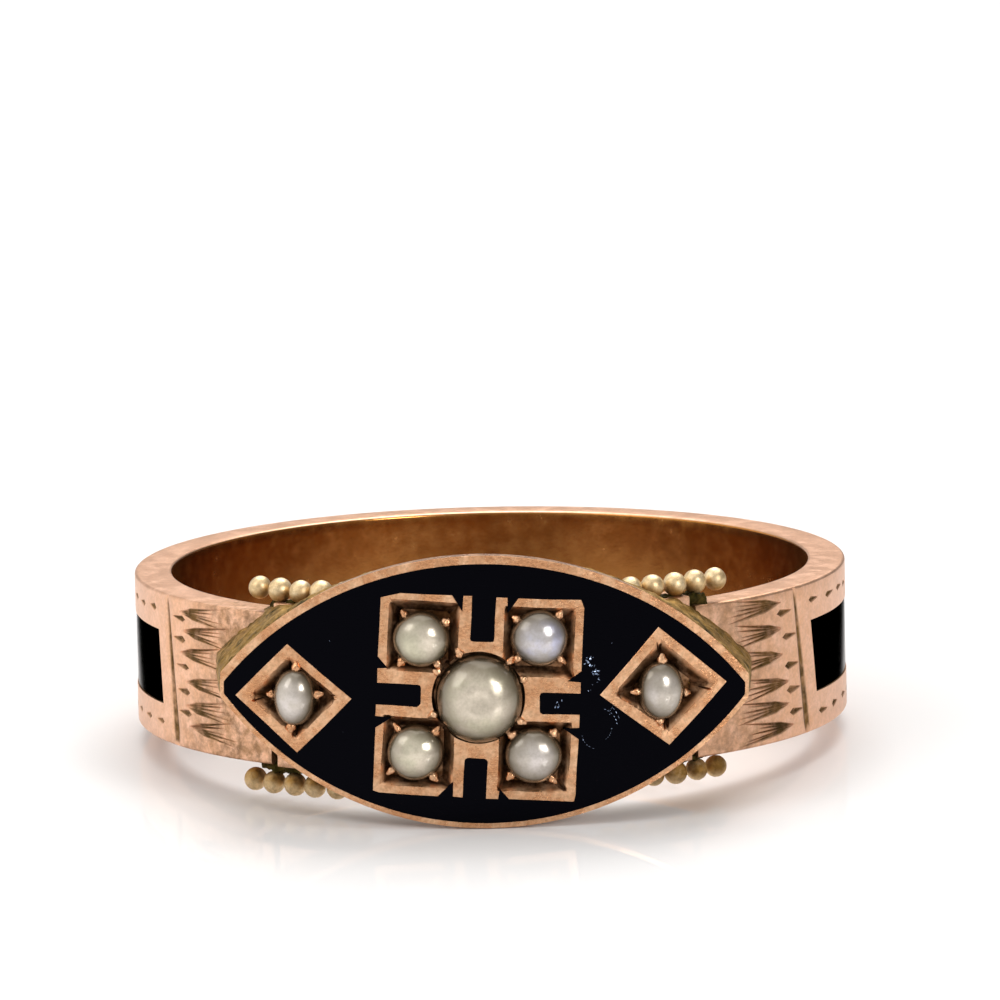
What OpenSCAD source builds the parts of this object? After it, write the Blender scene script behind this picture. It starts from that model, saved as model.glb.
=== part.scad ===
// Mourning ring. A flat rose gold band carries a bowed, pointed oval head.
// The head is sunk and filled with black enamel round a cross-shaped pearl
// cluster and two lozenges. Rows of small beads edge the base under it.
// The shoulders are engraved, and each side of the band has an enamel panel.
// The ring lies on its side: it rests on the low edge of the head in front
// and on the low edge of the band behind, so it leans back a little.

/* [Finger and band] */
// Inside diameter of the band, which is the finger size
finger_d = 17.2; // [16:0.1:21]
// Thickness of the band
band_t = 1.0; // [0.85:0.05:1.4]
// Width of the band, along the finger
band_w = 4.04; // [3.7:0.02:4.5]
// Chamfer on the band's long edges
band_edge = 0.08; // [0.04:0.01:0.14]

/* [Head plate] */
// Length of the pointed oval, from one blunt tip to the other
head_len = 13.72; // [13.2:0.02:14.1]
// Height of the pointed oval, along the finger
head_h = 7.14; // [6.9:0.02:8]
// Radius of the oval's upper and lower edge
head_edge_r = 8.84; // [8.6:0.02:9.2]
// How far the middle of the head stands out from the band
head_proud = 0.95; // [0.8:0.05:1.3]
// Radius that the head is bent to
head_bend_r = 22; // [18:0.5:30]
// Thickness of the head's plate at its edge
plate_t = 0.35; // [0.25:0.01:0.5]
// Offset of the head's middle to the right
head_x = -0.2; // [-0.4:0.05:0.4]
// Offset of the head's middle along the finger
head_z = 0.31; // [0:0.01:0.5]
// Turn of the head on the band, clockwise from the front, in degrees
head_turn = 1.34; // [0:0.02:3]
// Width of the gold rim above the enamel
rim_w = 0.22; // [0.15:0.01:0.3]
// Width of the gold rim below the enamel
low_rim_w = 0.13; // [0.1:0.01:0.2]
// Width of the gold rim at the tips
tip_rim_w = 0.1; // [0.08:0.01:0.2]

/* [Collet and base] */
// Step from the plate's edge in to the wall behind it
collet_step = 0.06; // [0.03:0.01:0.12]
// How far that wall spreads on its way to the band
collet_flare = 0.4; // [0.2:0.02:0.6]
// Depth over which the plate's underside slants in to the base
under_depth = 0.6; // [0.4:0.05:0.8]
// Width of the base under the head, along the finger
base_w = 4.6; // [4.5:0.02:5]
// How much less the base reaches out below than above
base_short = 0.24; // [0:0.02:0.28]
// Distance along the band from the head's tip in to the end of the shank
base_in = 1.68; // [1.2:0.02:2]
// Width of the groove between the shank and the base
joint_gap = 0.2; // [0.1:0.01:0.3]
// Depth of that groove
joint_depth = 0.35; // [0.2:0.01:0.5]

/* [Granulation] */
// Diameter of a bead
bead_d = 0.64; // [0.5:0.01:0.7]
// Distance between the centres of two beads
bead_pitch = 0.66; // [0.52:0.01:0.8]
// Number of beads in each of the four rows
bead_count = 6; // [3:1:8]
// How deep a bead is sunk in its strip
bead_sink = 0.06; // [0.03:0.01:0.12]
// Depth of the strip under the beads, in from the outside of the band
strip_t = 0.6; // [0.5:0.02:0.8]
// How far the strip stands out past the base, to the side and in front
strip_rise = 0.05; // [0.03:0.01:0.12]

/* [Pearl cluster] */
// Size of the cross-shaped cluster plate, across
cluster_size = 5.34; // [5.1:0.02:5.6]
// Offset of the cluster to the right of the head's middle
cluster_x = -0.16; // [-0.4:0.02:0.4]
// Offset of the cluster along the finger from the head's middle
cluster_z = -0.14; // [-0.4:0.02:0.4]
// Turn of the cluster on the head, clockwise, in degrees
cluster_turn = 2.4; // [0:0.1:5]
// Width of each of the four open slots
slot_w = 0.59; // [0.4:0.01:0.8]
// Length of a slot, in from the cluster's edge
slot_len = 1.12; // [0.9:0.01:1.25]
// Thickness of the gold arms beside a slot
arm_t = 0.28; // [0.2:0.01:0.35]
// Width of the notch between an arm and a corner, at the edge
notch_w = 0.3; // [0.2:0.01:0.4]
// Length of that notch, in from the edge
notch_len = 0.38; // [0.2:0.01:0.5]
// Border left round the cut recess of a corner
cell_border = 0.26; // [0.18:0.01:0.35]
// Depth of the cut recesses round the pearls
recess_t = 0.2; // [0.12:0.01:0.3]
// Diameter of the middle pearl
centre_pearl_d = 2.3; // [2:0.02:2.5]
// Diameter of the corner pearls
corner_pearl_d = 1.5; // [1.3:0.01:1.6]
// How far the middle pearl stands out from the plate
centre_pearl_proud = 0.75; // [0.6:0.01:0.95]
// How far a corner pearl stands out from the plate
corner_pearl_proud = 0.47; // [0.35:0.01:0.6]
// Diameter of the grains that hold the pearls
grain_d = 0.24; // [0.18:0.01:0.28]

/* [Lozenges] */
// Width of the left lozenge, across its corners
left_loz_w = 3.05; // [2.8:0.01:3.3]
// Height of the left lozenge, across its corners
left_loz_h = 2.82; // [2.6:0.01:3.1]
// Distance of the left lozenge from the head's middle
left_loz_x = 4.95; // [4.7:0.01:5.05]
// Offset of the left lozenge along the finger
left_loz_z = -0.25; // [-0.4:0.01:0.4]
// Turn of the left lozenge, clockwise, in degrees
left_loz_turn = -2.6; // [-6:0.1:6]
// Width of the right lozenge, across its corners
right_loz_w = 3.37; // [3.0:0.01:3.6]
// Height of the right lozenge, across its corners
right_loz_h = 3.11; // [2.8:0.01:3.3]
// Distance of the right lozenge from the head's middle
right_loz_x = 4.62; // [4.5:0.01:4.8]
// Offset of the right lozenge along the finger
right_loz_z = 0.02; // [-0.4:0.01:0.4]
// Turn of the right lozenge, clockwise, in degrees
right_loz_turn = -4.8; // [-6:0.1:6]
// Border left round the cut recess of a lozenge
loz_border = 0.26; // [0.18:0.01:0.35]
// Width of the left oval pearl
left_pearl_w = 1.08; // [0.95:0.01:1.15]
// Height of the left oval pearl
left_pearl_h = 1.48; // [1.3:0.01:1.55]
// Width of the right oval pearl
right_pearl_w = 1.22; // [1.05:0.01:1.3]
// Height of the right oval pearl
right_pearl_h = 1.54; // [1.4:0.01:1.65]
// How far an oval pearl stands out from the plate
oval_pearl_proud = 0.42; // [0.3:0.01:0.5]

/* [Enamel] */
// Thickness of the enamel on the head
enamel_t = 0.25; // [0.15:0.01:0.3]
// Thickness of the enamel in the side panels
panel_t = 0.3; // [0.2:0.01:0.4]
// Height of a side panel, along the finger
panel_h = 1.98; // [1.5:0.02:2.3]
// Length of a side panel, along the band
panel_len = 7.9; // [6:0.1:8.6]
// Distance along the band from the head's tip to a side panel
panel_out = 3.2; // [3:0.02:3.6]
// Gap left round the enamel and the pearls
fit_gap = 0.015; // [0.01:0.005:0.03]

/* [Engraving] */
// Number of wedge cuts on a shoulder
wedge_count = 6; // [4:1:7]
// Distance from one wedge cut to the next
wedge_pitch = 0.68; // [0.5:0.01:0.75]
// Length of a wedge cut past the head's tip
wedge_out = 1.5; // [1.2:0.02:1.7]
// Depth of a wedge cut at its wide end
wedge_depth = 0.2; // [0.1:0.01:0.26]
// Length of the short ticks between the wedge cuts
tick_len = 0.6; // [0.4:0.02:0.7]
// Depth of the ticks
tick_depth = 0.09; // [0.05:0.01:0.14]
// Distance along the band from the head's tip to the cross line
line_out = 2.46; // [2.4:0.02:2.8]
// Depth of the cross line
line_depth = 0.09; // [0.05:0.01:0.14]
// Lean of the left shoulder's cuts, in degrees
left_lean = 5.7; // [0:0.1:10]
// Lean of the right shoulder's cuts, in degrees
right_lean = 9.3; // [0:0.1:10]
// Distance from one tick of a panel's border to the next
border_pitch = 1.05; // [0.8:0.01:1.6]

/* [Hidden] */
$fn = 180;
LEFT = -1;
RIGHT = 1;
UP = 1;
DOWN = -1;
// Extra length by which a cutter or a join reaches past a face
reach = 0.5;

// The band, and the place of the head on it
finger_r = finger_d / 2;
band_r = finger_r + band_t;
front_y = -(band_r + head_proud);
head_a = head_len / 2;
head_b = head_h / 2;
arc_r = head_edge_r;
arc_in = arc_r - head_b;
collet_depth = -front_y - sqrt(pow(band_r, 2) - pow(head_a + abs(head_x) + collet_flare, 2)) + 0.2;

// How the ring rests, worked out from its two low edges
rest_front_y = front_y + plate_t;
rest_front_z = head_z + arc_in * cos(head_turn) - arc_r;
rest_back_y = band_r - band_edge;
rest_back_z = -band_w / 2;
lean_back = atan2(rest_back_z - rest_front_z, rest_back_y - rest_front_y);
lift = rest_front_y * sin(lean_back) - rest_front_z * cos(lean_back);
middle_y = (band_r + front_y - centre_pearl_proud) / 2 * cos(lean_back);

// The cluster, in its own square frame
cluster_s = cluster_size / 2;
arm_out = slot_w / 2 + arm_t;
cell_in = arm_out + 0.04;
cell_out = cluster_s - cell_border;
cell_mid = (cell_in + cell_out) / 2;

// Each corner pearl: side, edge, shift to the right and shift up from the middle of its cell
CORNERS = [
    [LEFT, UP, -0.04, -0.06],
    [RIGHT, UP, 0, 0.1],
    [LEFT, DOWN, -0.06, -0.02],
    [RIGHT, DOWN, -0.02, 0.04]];
// Each corner of the cluster, clockwise from the upper left: cut along the edge and down the side
CORNER_CUTS = [[0.5, 0.14], [0.36, 0.14], [0.05, 0.05], [0.45, 0.12]];
// Each row of beads: side, edge, distance from the head's tip in to its outermost bead, shift up
BEAD_ROWS = [
    [LEFT, UP, 1.19, 0],
    [LEFT, DOWN, 0.84, 0.08],
    [RIGHT, UP, 0.79, 0],
    [RIGHT, DOWN, 0.86, 0.24]];

// Angle round the band of a length along its outside
function turned(length) = length / band_r * 180 / PI;
// Angle of the head's tip on one side
function tip_angle(side) = asin((head_a + side * head_x) / band_r);
function lean(side) = side == LEFT ? left_lean : right_lean;
// Angle of a mark at a length past the tip and a height, which leans as the cuts do
function mark_angle(side, length, z) =
    side * (tip_angle(side) + turned(length - side * z * tan(lean(side))));
function unit(v) = v / norm(v);
function edge_normal(a, b) = unit([b[1] - a[1], a[0] - b[0]]);
// A closed outline, run anticlockwise, moved out by a gap all round
function grown(points, gap) = [
    for (i = [0:len(points) - 1])
        let (before = points[(i + len(points) - 1) % len(points)])
        let (after = points[(i + 1) % len(points)])
        let (n1 = edge_normal(before, points[i]))
        let (n2 = edge_normal(points[i], after))
        points[i] + gap * (n1 + n2) / (1 + n1 * n2)];
function quarter_turn(p, k) =
    [p[0] * cos(90 * k) - p[1] * sin(90 * k), p[0] * sin(90 * k) + p[1] * cos(90 * k)];
// One quarter of the cluster's outline: the upper slot, an arm, a notch and the corner left of it
function cluster_quarter(cut) = [
    [slot_w / 2, cluster_s],
    [slot_w / 2, cluster_s - slot_len],
    [-slot_w / 2, cluster_s - slot_len],
    [-slot_w / 2, cluster_s],
    [-arm_out, cluster_s],
    [-arm_out, cluster_s - notch_len],
    [-arm_out - notch_w, cluster_s],
    [-cluster_s + cut[0], cluster_s],
    [-cluster_s, cluster_s - cut[1]],
    [-cluster_s, arm_out + notch_w],
    [-cluster_s + notch_len, arm_out],
    [-cluster_s, arm_out]];
function corner_cut(k) = k % 2 == 0 ? CORNER_CUTS[(4 - k) % 4]
    : [CORNER_CUTS[4 - k][1], CORNER_CUTS[4 - k][0]];
cluster_outline = [
    for (k = [0:3])
        for (p = cluster_quarter(corner_cut(k)))
            quarter_turn(p, k)];
function lozenge_outline(w, h) = [[w / 2, 0], [0, h / 2], [-w / 2, 0], [0, -h / 2]];
// The same lozenge with a border taken off all round
function lozenge_inside(w, h, border) = grown(lozenge_outline(w, h), -border);

// Puts the ring, drawn round the Z axis with its head in front, down as it rests
module at_rest() {
    translate([0, -middle_y, lift])
        rotate([-lean_back, 0, 0])
            children();
}
// The head's frame: the origin is the middle of its front, Y runs in and Z up
module in_head() {
    translate([head_x, front_y, head_z])
        rotate([0, head_turn, 0])
            children();
}
// A place on the bent front of the head, with Y running straight in
module on_head(x, z) {
    translate([0, head_bend_r, 0])
        rotate([0, 0, asin(x / head_bend_r)])
            translate([0, -head_bend_r, z])
                children();
}
module in_cluster() {
    translate([cluster_x, 0, cluster_z])
        rotate([0, cluster_turn, 0])
            children();
}
// A place on the outside of the band: X runs round it, Y up and Z out
module on_band(angle, z, depth) {
    rotate([0, 0, angle])
        translate([0, depth - band_r, z])
            rotate([90, 0, 0])
                children();
}
// A flat drawing run inwards between two depths
module slab(from, to) {
    translate([0, to, 0])
        rotate([90, 0, 0])
            linear_extrude(to - from)
                children();
}
// The bent layer of the head between two depths
module bent_layer(from, to) {
    translate([0, head_bend_r, -head_h])
        difference() {
            cylinder(h = 2 * head_h, r = head_bend_r - from, $fn = 256);
            translate([0, 0, -reach])
                cylinder(h = 2 * head_h + 2 * reach, r = head_bend_r - to, $fn = 256);
        }
}
// A stretch of ring round the finger, between two angles from the front
module sector(from, to, inner_r, outer_r, low, high) {
    rotate([0, 0, from - 90])
        rotate_extrude(angle = to - from)
            translate([inner_r, low])
                square([outer_r - inner_r, high - low]);
}

// The blunt pointed oval, with its upper edge, its lower edge and its tips moved in
module navette(top, low, tip) {
    intersection() {
        translate([0, -arc_in])
            circle(r = arc_r - top);
        translate([0, arc_in])
            circle(r = arc_r - low);
        circle(r = head_a - tip);
    }
}
// The gold outlines that stand in the enamel, moved out by a gap
module gold_outlines(gap) {
    translate([cluster_x, cluster_z])
        rotate(-cluster_turn)
            polygon(grown(cluster_outline, gap));
    translate([-left_loz_x, left_loz_z])
        rotate(-left_loz_turn)
            polygon(grown(lozenge_outline(left_loz_w, left_loz_h), gap));
    translate([right_loz_x, right_loz_z])
        rotate(-right_loz_turn)
            polygon(grown(lozenge_outline(right_loz_w, right_loz_h), gap));
}
// The enamel field of the head, cut in or filled: the gap is left all round it
module head_field(gap) {
    intersection() {
        bent_layer(gap > 0 ? 0 : -reach, enamel_t - gap);
        slab(-reach, head_bend_r / 2)
            difference() {
                navette(rim_w + gap, low_rim_w + gap, tip_rim_w + gap);
                gold_outlines(gap);
            }
    }
}
// An enamel panel on one side of the band
module side_field(side, gap) {
    z = panel_h / 2 - gap;
    corner_y = [
        for (s = [panel_out, panel_out + panel_len])
            for (k = [UP, DOWN])
                -band_r * cos(mark_angle(side, s, k * z))];
    intersection() {
        difference() {
            cylinder(h = panel_h, r = band_r + (gap > 0 ? 0 : reach), center = true);
            cylinder(h = panel_h + reach, r = band_r - panel_t + gap, center = true);
        }
        rotate([90, 0, 90])
            translate([0, 0, side == LEFT ? -2 * band_r : 0])
                linear_extrude(2 * band_r)
                    polygon([[corner_y[0] + gap, z], [corner_y[1] + gap, -z],
                        [corner_y[3] - gap, -z], [corner_y[2] - gap, z]]);
    }
}

// A half pearl: a dome on a flat back, with Y running in; grown by a gap it is its seat
module round_pearl(d, proud, gap) {
    translate([0, d / 2 - proud, 0])
        rotate([-90, 0, 0])
            difference() {
                sphere(d = d + 2 * gap);
                translate([-d, -d, gap])
                    cube([2 * d, 2 * d, d]);
            }
}
module oval_pearl(w, h, proud, gap) {
    half = (h - w) / 2;
    translate([0, w / 2 - proud, 0])
        difference() {
            union() {
                for (end = [-half, half])
                    translate([0, 0, end])
                        sphere(d = w + 2 * gap);
                cylinder(h = 2 * half, d = w + 2 * gap, center = true);
            }
            translate([-h, gap, -h])
                cube([2 * h, h, 2 * h]);
        }
}
module corner_pearl(row, gap) {
    in_cluster()
        on_head(row[0] * cell_mid + row[2], row[1] * cell_mid + row[3])
            round_pearl(corner_pearl_d, corner_pearl_proud, gap);
}
module centre_pearl(gap) {
    in_cluster()
        on_head(0, 0)
            round_pearl(centre_pearl_d, centre_pearl_proud, gap);
}
module left_pearl(gap) {
    on_head(-left_loz_x, left_loz_z)
        oval_pearl(left_pearl_w, left_pearl_h, oval_pearl_proud, gap);
}
module right_pearl(gap) {
    on_head(right_loz_x, right_loz_z)
        oval_pearl(right_pearl_w, right_pearl_h, oval_pearl_proud, gap);
}

// A grain: a short post with a round top, level with the plate
module grain(x, z) {
    translate([x, 0, z]) {
        sphere(d = grain_d, $fn = 24);
        rotate([-90, 0, 0])
            cylinder(h = recess_t + grain_d, d = grain_d, $fn = 24);
    }
}
// A cut recess with straight sides, from an outline drawn round the pearl
module recess(outline) {
    slab(-reach, recess_t)
        polygon(outline);
}
module cell_cut(row) {
    w = cell_out - cell_in;
    in_cluster()
        on_head(row[0] * cell_mid, row[1] * cell_mid)
            recess([[w, w] / 2, [-w, w] / 2, [-w, -w] / 2, [w, -w] / 2]);
}
module cell_grains(row) {
    x = row[0] * cell_mid + row[2];
    z = row[1] * cell_mid + row[3];
    away = corner_pearl_d / 2 + grain_d * 0.4;
    in_cluster()
        on_head(x, z)
            for (way = [45, 135, 225, 315])
                grain(away * cos(way), away * sin(way));
}
module lozenge_cut(x, z, w, h, turn) {
    on_head(x, z)
        rotate([0, turn, 0])
            recess(lozenge_inside(w, h, loz_border));
}
module lozenge_grains(x, z, w, h, turn) {
    on_head(x, z)
        rotate([0, turn, 0]) {
            for (side = [LEFT, RIGHT]) {
                grain(side * (w / 2 + grain_d * 0.4), 0);
                grain(0, side * (h / 2 + grain_d * 0.4));
            }
        }
}

// A graver's V-shaped cut from one place on the band to another, with its depth at each
// A cut that leaves the metal at its end runs on past it
module graver_cut(angle, z, depth, to_angle, to_z, to_depth, run_on = 0) {
    step = to_angle - angle;
    run = (band_r - to_depth) * sin(step);
    rise = to_z - z;
    out = (band_r - to_depth) * cos(step) - (band_r - depth);
    on_band(angle, z, depth)
        rotate([0, 0, atan2(rise, run)])
            rotate([0, -atan2(out, norm([run, rise])), 0])
                rotate([45, 0, 0])
                    cube([norm([run, rise, out]) + run_on, 1, 1]);
}
module shoulder_cuts(side) {
    for (i = [0:wedge_count - 1]) {
        z = ((wedge_count - 1) / 2 - i) * wedge_pitch;
        graver_cut(mark_angle(side, -wedge_out / 4, z), z, wedge_depth,
            mark_angle(side, wedge_out, z), z, 0, reach);
    }
    for (i = [1:wedge_count - 1]) {
        z = (wedge_count / 2 - i) * wedge_pitch;
        graver_cut(mark_angle(side, line_out - 0.25 - tick_len, z), z, tick_depth,
            mark_angle(side, line_out - 0.25, z), z, tick_depth / 3);
    }
    graver_cut(mark_angle(side, line_out, band_w), band_w, line_depth,
        mark_angle(side, line_out, -band_w), -band_w, line_depth);
    graver_cut(mark_angle(side, panel_out + panel_len + 0.7, band_w), band_w, line_depth,
        mark_angle(side, panel_out + panel_len + 0.7, -band_w), -band_w, line_depth);
}
module border_cuts(side) {
    z = (band_w + panel_h) / 4;
    for (s = [panel_out:border_pitch:panel_out + panel_len])
        for (edge = [UP, DOWN])
            graver_cut(mark_angle(side, s, edge * z), edge * z, tick_depth,
                mark_angle(side, s + tick_len, edge * z), edge * z, tick_depth / 3);
}
// The groove beside the base, where the shank ends
module joint_groove(side) {
    on_band(side * (tip_angle(side) - turned(base_in)), 0, joint_depth)
        translate([side == RIGHT ? -joint_gap : 0, -base_w, 0])
            cube([joint_gap, 2 * base_w, 1]);
}

module shank() {
    difference() {
        rotate_extrude()
            polygon([
                [finger_r, band_edge - band_w / 2],
                [finger_r + band_edge, -band_w / 2],
                [band_r - band_edge, -band_w / 2],
                [band_r, band_edge - band_w / 2],
                [band_r, band_w / 2 - band_edge],
                [band_r - band_edge, band_w / 2],
                [finger_r + band_edge, band_w / 2],
                [finger_r, band_w / 2 - band_edge]]);
        for (side = [LEFT, RIGHT]) {
            joint_groove(side);
            shoulder_cuts(side);
            border_cuts(side);
            side_field(side, 0);
        }
    }
}
module base() {
    groove = turned(joint_gap);
    sector(turned(base_in) + groove - tip_angle(LEFT), tip_angle(RIGHT) - turned(base_in) - groove,
        finger_r, band_r, base_short - base_w / 2, base_w / 2);
}
module bead_row(side, edge, inset, shift) {
    strip_r = band_r - strip_t / 2;
    strip_z = base_w / 2 + strip_rise;
    pitch = bead_pitch / strip_r * 180 / PI;
    last = tip_angle(side) - turned(inset);
    outer = side * (last + pitch / 2);
    inner = side * (last - (bead_count - 0.5) * pitch);
    low = band_w / 2 - band_edge * 2;
    sector(min(outer, inner), max(outer, inner), band_r - strip_t, band_r + strip_rise,
        edge > 0 ? low : shift - strip_z, edge > 0 ? strip_z + shift : -low);
    for (i = [0:bead_count - 1])
        rotate([0, 0, side * (last - i * pitch)])
            translate([0, -strip_r, edge * (strip_z + bead_d / 2 - bead_sink) + shift])
                sphere(d = bead_d);
}
module plate() {
    in_head()
        intersection() {
            bent_layer(0, plate_t);
            slab(-reach, head_bend_r / 2)
                navette(0, 0, 0);
        }
}
// The wall behind the plate: it spreads to the shoulders and slants in under the plate
module collet() {
    back_r = head_bend_r - plate_t + 0.05;
    intersection() {
        in_head()
            intersection_for (edge = [[arc_in, arc_r], [-arc_in, arc_r], [0, head_a]])
                translate([0, 0, edge[0]])
                    rotate([-90, 0, 0])
                        cylinder(h = collet_depth, r1 = edge[1] - collet_step,
                            r2 = edge[1] - collet_step + collet_flare);
        translate([head_x, front_y + head_bend_r, 0])
            rotate_extrude()
                polygon([
                    [back_r - collet_depth - 1, base_short - base_w / 2],
                    [back_r - under_depth, base_short - base_w / 2],
                    [back_r, head_z - head_b],
                    [back_r, head_z + head_b],
                    [back_r - under_depth, base_w / 2],
                    [back_r - collet_depth - 1, base_w / 2]]);
    }
}

module gold_body() {
    color("#d6a078")
        at_rest()
            difference() {
                union() {
                    shank();
                    base();
                    for (row = BEAD_ROWS)
                        bead_row(row[0], row[1], row[2], row[3]);
                    difference() {
                        collet();
                        cylinder(h = head_h, r = finger_r + band_t / 2, center = true);
                    }
                    difference() {
                        plate();
                        in_head() {
                            head_field(0);
                            for (row = CORNERS)
                                cell_cut(row);
                            lozenge_cut(-left_loz_x, left_loz_z, left_loz_w, left_loz_h, left_loz_turn);
                            lozenge_cut(right_loz_x, right_loz_z, right_loz_w, right_loz_h,
                                right_loz_turn);
                        }
                    }
                    in_head() {
                        for (row = CORNERS)
                            cell_grains(row);
                        lozenge_grains(-left_loz_x, left_loz_z, left_pearl_w, left_pearl_h,
                            left_loz_turn);
                        lozenge_grains(right_loz_x, right_loz_z, right_pearl_w, right_pearl_h,
                            right_loz_turn);
                    }
                }
                in_head() {
                    centre_pearl(fit_gap);
                    for (row = CORNERS)
                        corner_pearl(row, fit_gap);
                    left_pearl(fit_gap);
                    right_pearl(fit_gap);
                }
            }
}
module head_enamel() {
    color("#0d0f18")
        at_rest()
            in_head()
                head_field(fit_gap);
}
module side_enamel(side) {
    color("#10120f")
        at_rest()
            side_field(side, fit_gap);
}
module side_enamel_left() {
    side_enamel(LEFT);
}
module side_enamel_right() {
    side_enamel(RIGHT);
}
module pearl_colour() {
    color("#e3ddcb")
        at_rest()
            in_head()
                children();
}
module pearl_centre() {
    pearl_colour()
        centre_pearl(0);
}
module pearl_upper_left() {
    pearl_colour()
        corner_pearl(CORNERS[0], 0);
}
module pearl_upper_right() {
    pearl_colour()
        corner_pearl(CORNERS[1], 0);
}
module pearl_lower_left() {
    pearl_colour()
        corner_pearl(CORNERS[2], 0);
}
module pearl_lower_right() {
    pearl_colour()
        corner_pearl(CORNERS[3], 0);
}
module pearl_left() {
    pearl_colour()
        left_pearl(0);
}
module pearl_right() {
    pearl_colour()
        right_pearl(0);
}

gold_body();
head_enamel();
side_enamel_left();
side_enamel_right();
pearl_centre();
pearl_upper_left();
pearl_upper_right();
pearl_lower_left();
pearl_lower_right();
pearl_left();
pearl_right();
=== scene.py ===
# %% [markdown]
# # A mourning ring
# The ring lies on its side on a pale table. A flat rose gold band carries a bowed, pointed oval head,
# sunk and filled with black enamel round a cross-shaped cluster of half pearls. Small beads edge the
# base under the head, the shoulders are engraved and the sides hold enamel panels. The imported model
# gives the frame, so each piece is laid where its solid lies.

# %% Load the frame
import bmesh
import bpy
import random
from math import asin, atan2, ceil, cos, degrees, floor, hypot, pi, radians, sin, sqrt, tan
from mathutils import Matrix, Vector


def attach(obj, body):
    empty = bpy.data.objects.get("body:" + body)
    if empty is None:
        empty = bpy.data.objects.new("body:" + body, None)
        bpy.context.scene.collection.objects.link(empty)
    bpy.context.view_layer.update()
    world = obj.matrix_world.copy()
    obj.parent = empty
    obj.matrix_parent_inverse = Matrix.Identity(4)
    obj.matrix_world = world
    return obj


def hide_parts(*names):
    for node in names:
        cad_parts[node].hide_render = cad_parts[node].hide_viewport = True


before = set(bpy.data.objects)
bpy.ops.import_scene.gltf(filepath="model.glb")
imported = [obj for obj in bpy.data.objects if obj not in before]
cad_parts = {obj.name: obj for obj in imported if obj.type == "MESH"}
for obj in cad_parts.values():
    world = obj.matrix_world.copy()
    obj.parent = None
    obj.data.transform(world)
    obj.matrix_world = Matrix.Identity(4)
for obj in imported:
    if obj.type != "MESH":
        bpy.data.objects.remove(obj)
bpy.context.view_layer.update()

# %% [markdown]
# ## Sizes
# A camera and the band's radii were fitted together to the photograph, and the finger hole was taken
# as 17.2 mm. All sizes are in millimetres, as a jeweller writes them. LEFT and RIGHT are the sides seen
# from the front, UP and DOWN the two edges of the band as it lies.

# %% Sizes of the band
MM = 0.001
LEFT, RIGHT = -1, 1
UP, DOWN = 1, -1
FINGER_R = 8.6
BAND_T = 1.0
BAND_R = FINGER_R + BAND_T
BAND_W = 4.04
BAND_EDGE = 0.08
BASE_W = 4.6
BASE_IN = 1.68
BASE_SHORT = 0.24
JOINT_GAP = 0.2
JOINT_DEPTH = 0.35
print("band", 2 * BAND_R, "mm across,", BAND_W, "mm wide")

# %% Sizes of the head
HEAD_LEN = 13.72
HEAD_H = 7.14
HEAD_EDGE_R = 8.84
HEAD_PROUD = 0.95
HEAD_BEND_R = 22.0
PLATE_T = 0.35
HEAD_X = -0.2
HEAD_Z = 0.31
HEAD_TURN = 1.34
RIM_W = 0.22
LOW_RIM_W = 0.13
TIP_RIM_W = 0.1
ENAMEL_T = 0.25
FRONT_Y = -(BAND_R + HEAD_PROUD)
HEAD_A = HEAD_LEN / 2
HEAD_B = HEAD_H / 2
ARC_IN = HEAD_EDGE_R - HEAD_B
print("the oval is", HEAD_LEN, "by", HEAD_H, "mm")

# %% [markdown]
# ## How the ring rests
# The head is taller than the band is wide, so the ring rests on the low edge of the head in front and
# on the low edge of the band behind, and leans back by the angle between the two. REST lays it down,
# and HEAD_PLACE holds a head that is made flat.

# %% Where the ring and its head lie
rest_front_y = FRONT_Y + PLATE_T
rest_front_z = HEAD_Z + ARC_IN * cos(radians(HEAD_TURN)) - HEAD_EDGE_R
LEAN_BACK = atan2(-BAND_W / 2 - rest_front_z, BAND_R - BAND_EDGE - rest_front_y)
LIFT = rest_front_y * sin(LEAN_BACK) - rest_front_z * cos(LEAN_BACK)
CENTRE_PROUD = 0.75
MIDDLE_Y = (BAND_R + FRONT_Y - CENTRE_PROUD) / 2 * cos(LEAN_BACK)
REST = Matrix.Translation((0, -MIDDLE_Y * MM, LIFT * MM)) @ Matrix.Rotation(-LEAN_BACK, 4, "X")
HEAD_PLACE = Matrix.Translation((HEAD_X, FRONT_Y, HEAD_Z)) @ Matrix.Rotation(
    radians(HEAD_TURN), 4, "Y")
BAND_PLACE = Matrix.Translation((0, -BAND_R, 0))
print("the ring leans back", round(degrees(LEAN_BACK), 2), "degrees")

# %% [markdown]
# ## Camera
# The camera was fitted in the ring's own frame: its rise over the plane of the band, its roll, its
# distance, its focal length and the pixel of the ring's middle. It is turned rather than shifted to
# frame the ring as the photograph does, which keeps other views centred.

# %% Camera
IMAGE = 1000
SENSOR = 36.0
camera_rise = radians(9.787)
camera_roll = radians(-1.219)
CAMERA_AWAY = 220.0
FOCAL_PX = 8118.4
RING_PIXEL = (491.16, 634.60)

back = Vector((0, -cos(camera_rise), sin(camera_rise)))
level = Vector((1, 0, 0))
upright = Vector((0, sin(camera_rise), cos(camera_rise)))
across = level * cos(camera_roll) + upright * sin(camera_roll)
upward = upright * cos(camera_roll) - level * sin(camera_roll)
aim = (across * (IMAGE / 2 - RING_PIXEL[0]) + upward * (RING_PIXEL[1] - IMAGE / 2)) / FOCAL_PX - back
aim.normalize()
across = (across - aim * across.dot(aim)).normalized()
upward = across.cross(aim)
turned = Matrix((across, upward, -aim)).transposed().to_4x4()

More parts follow.
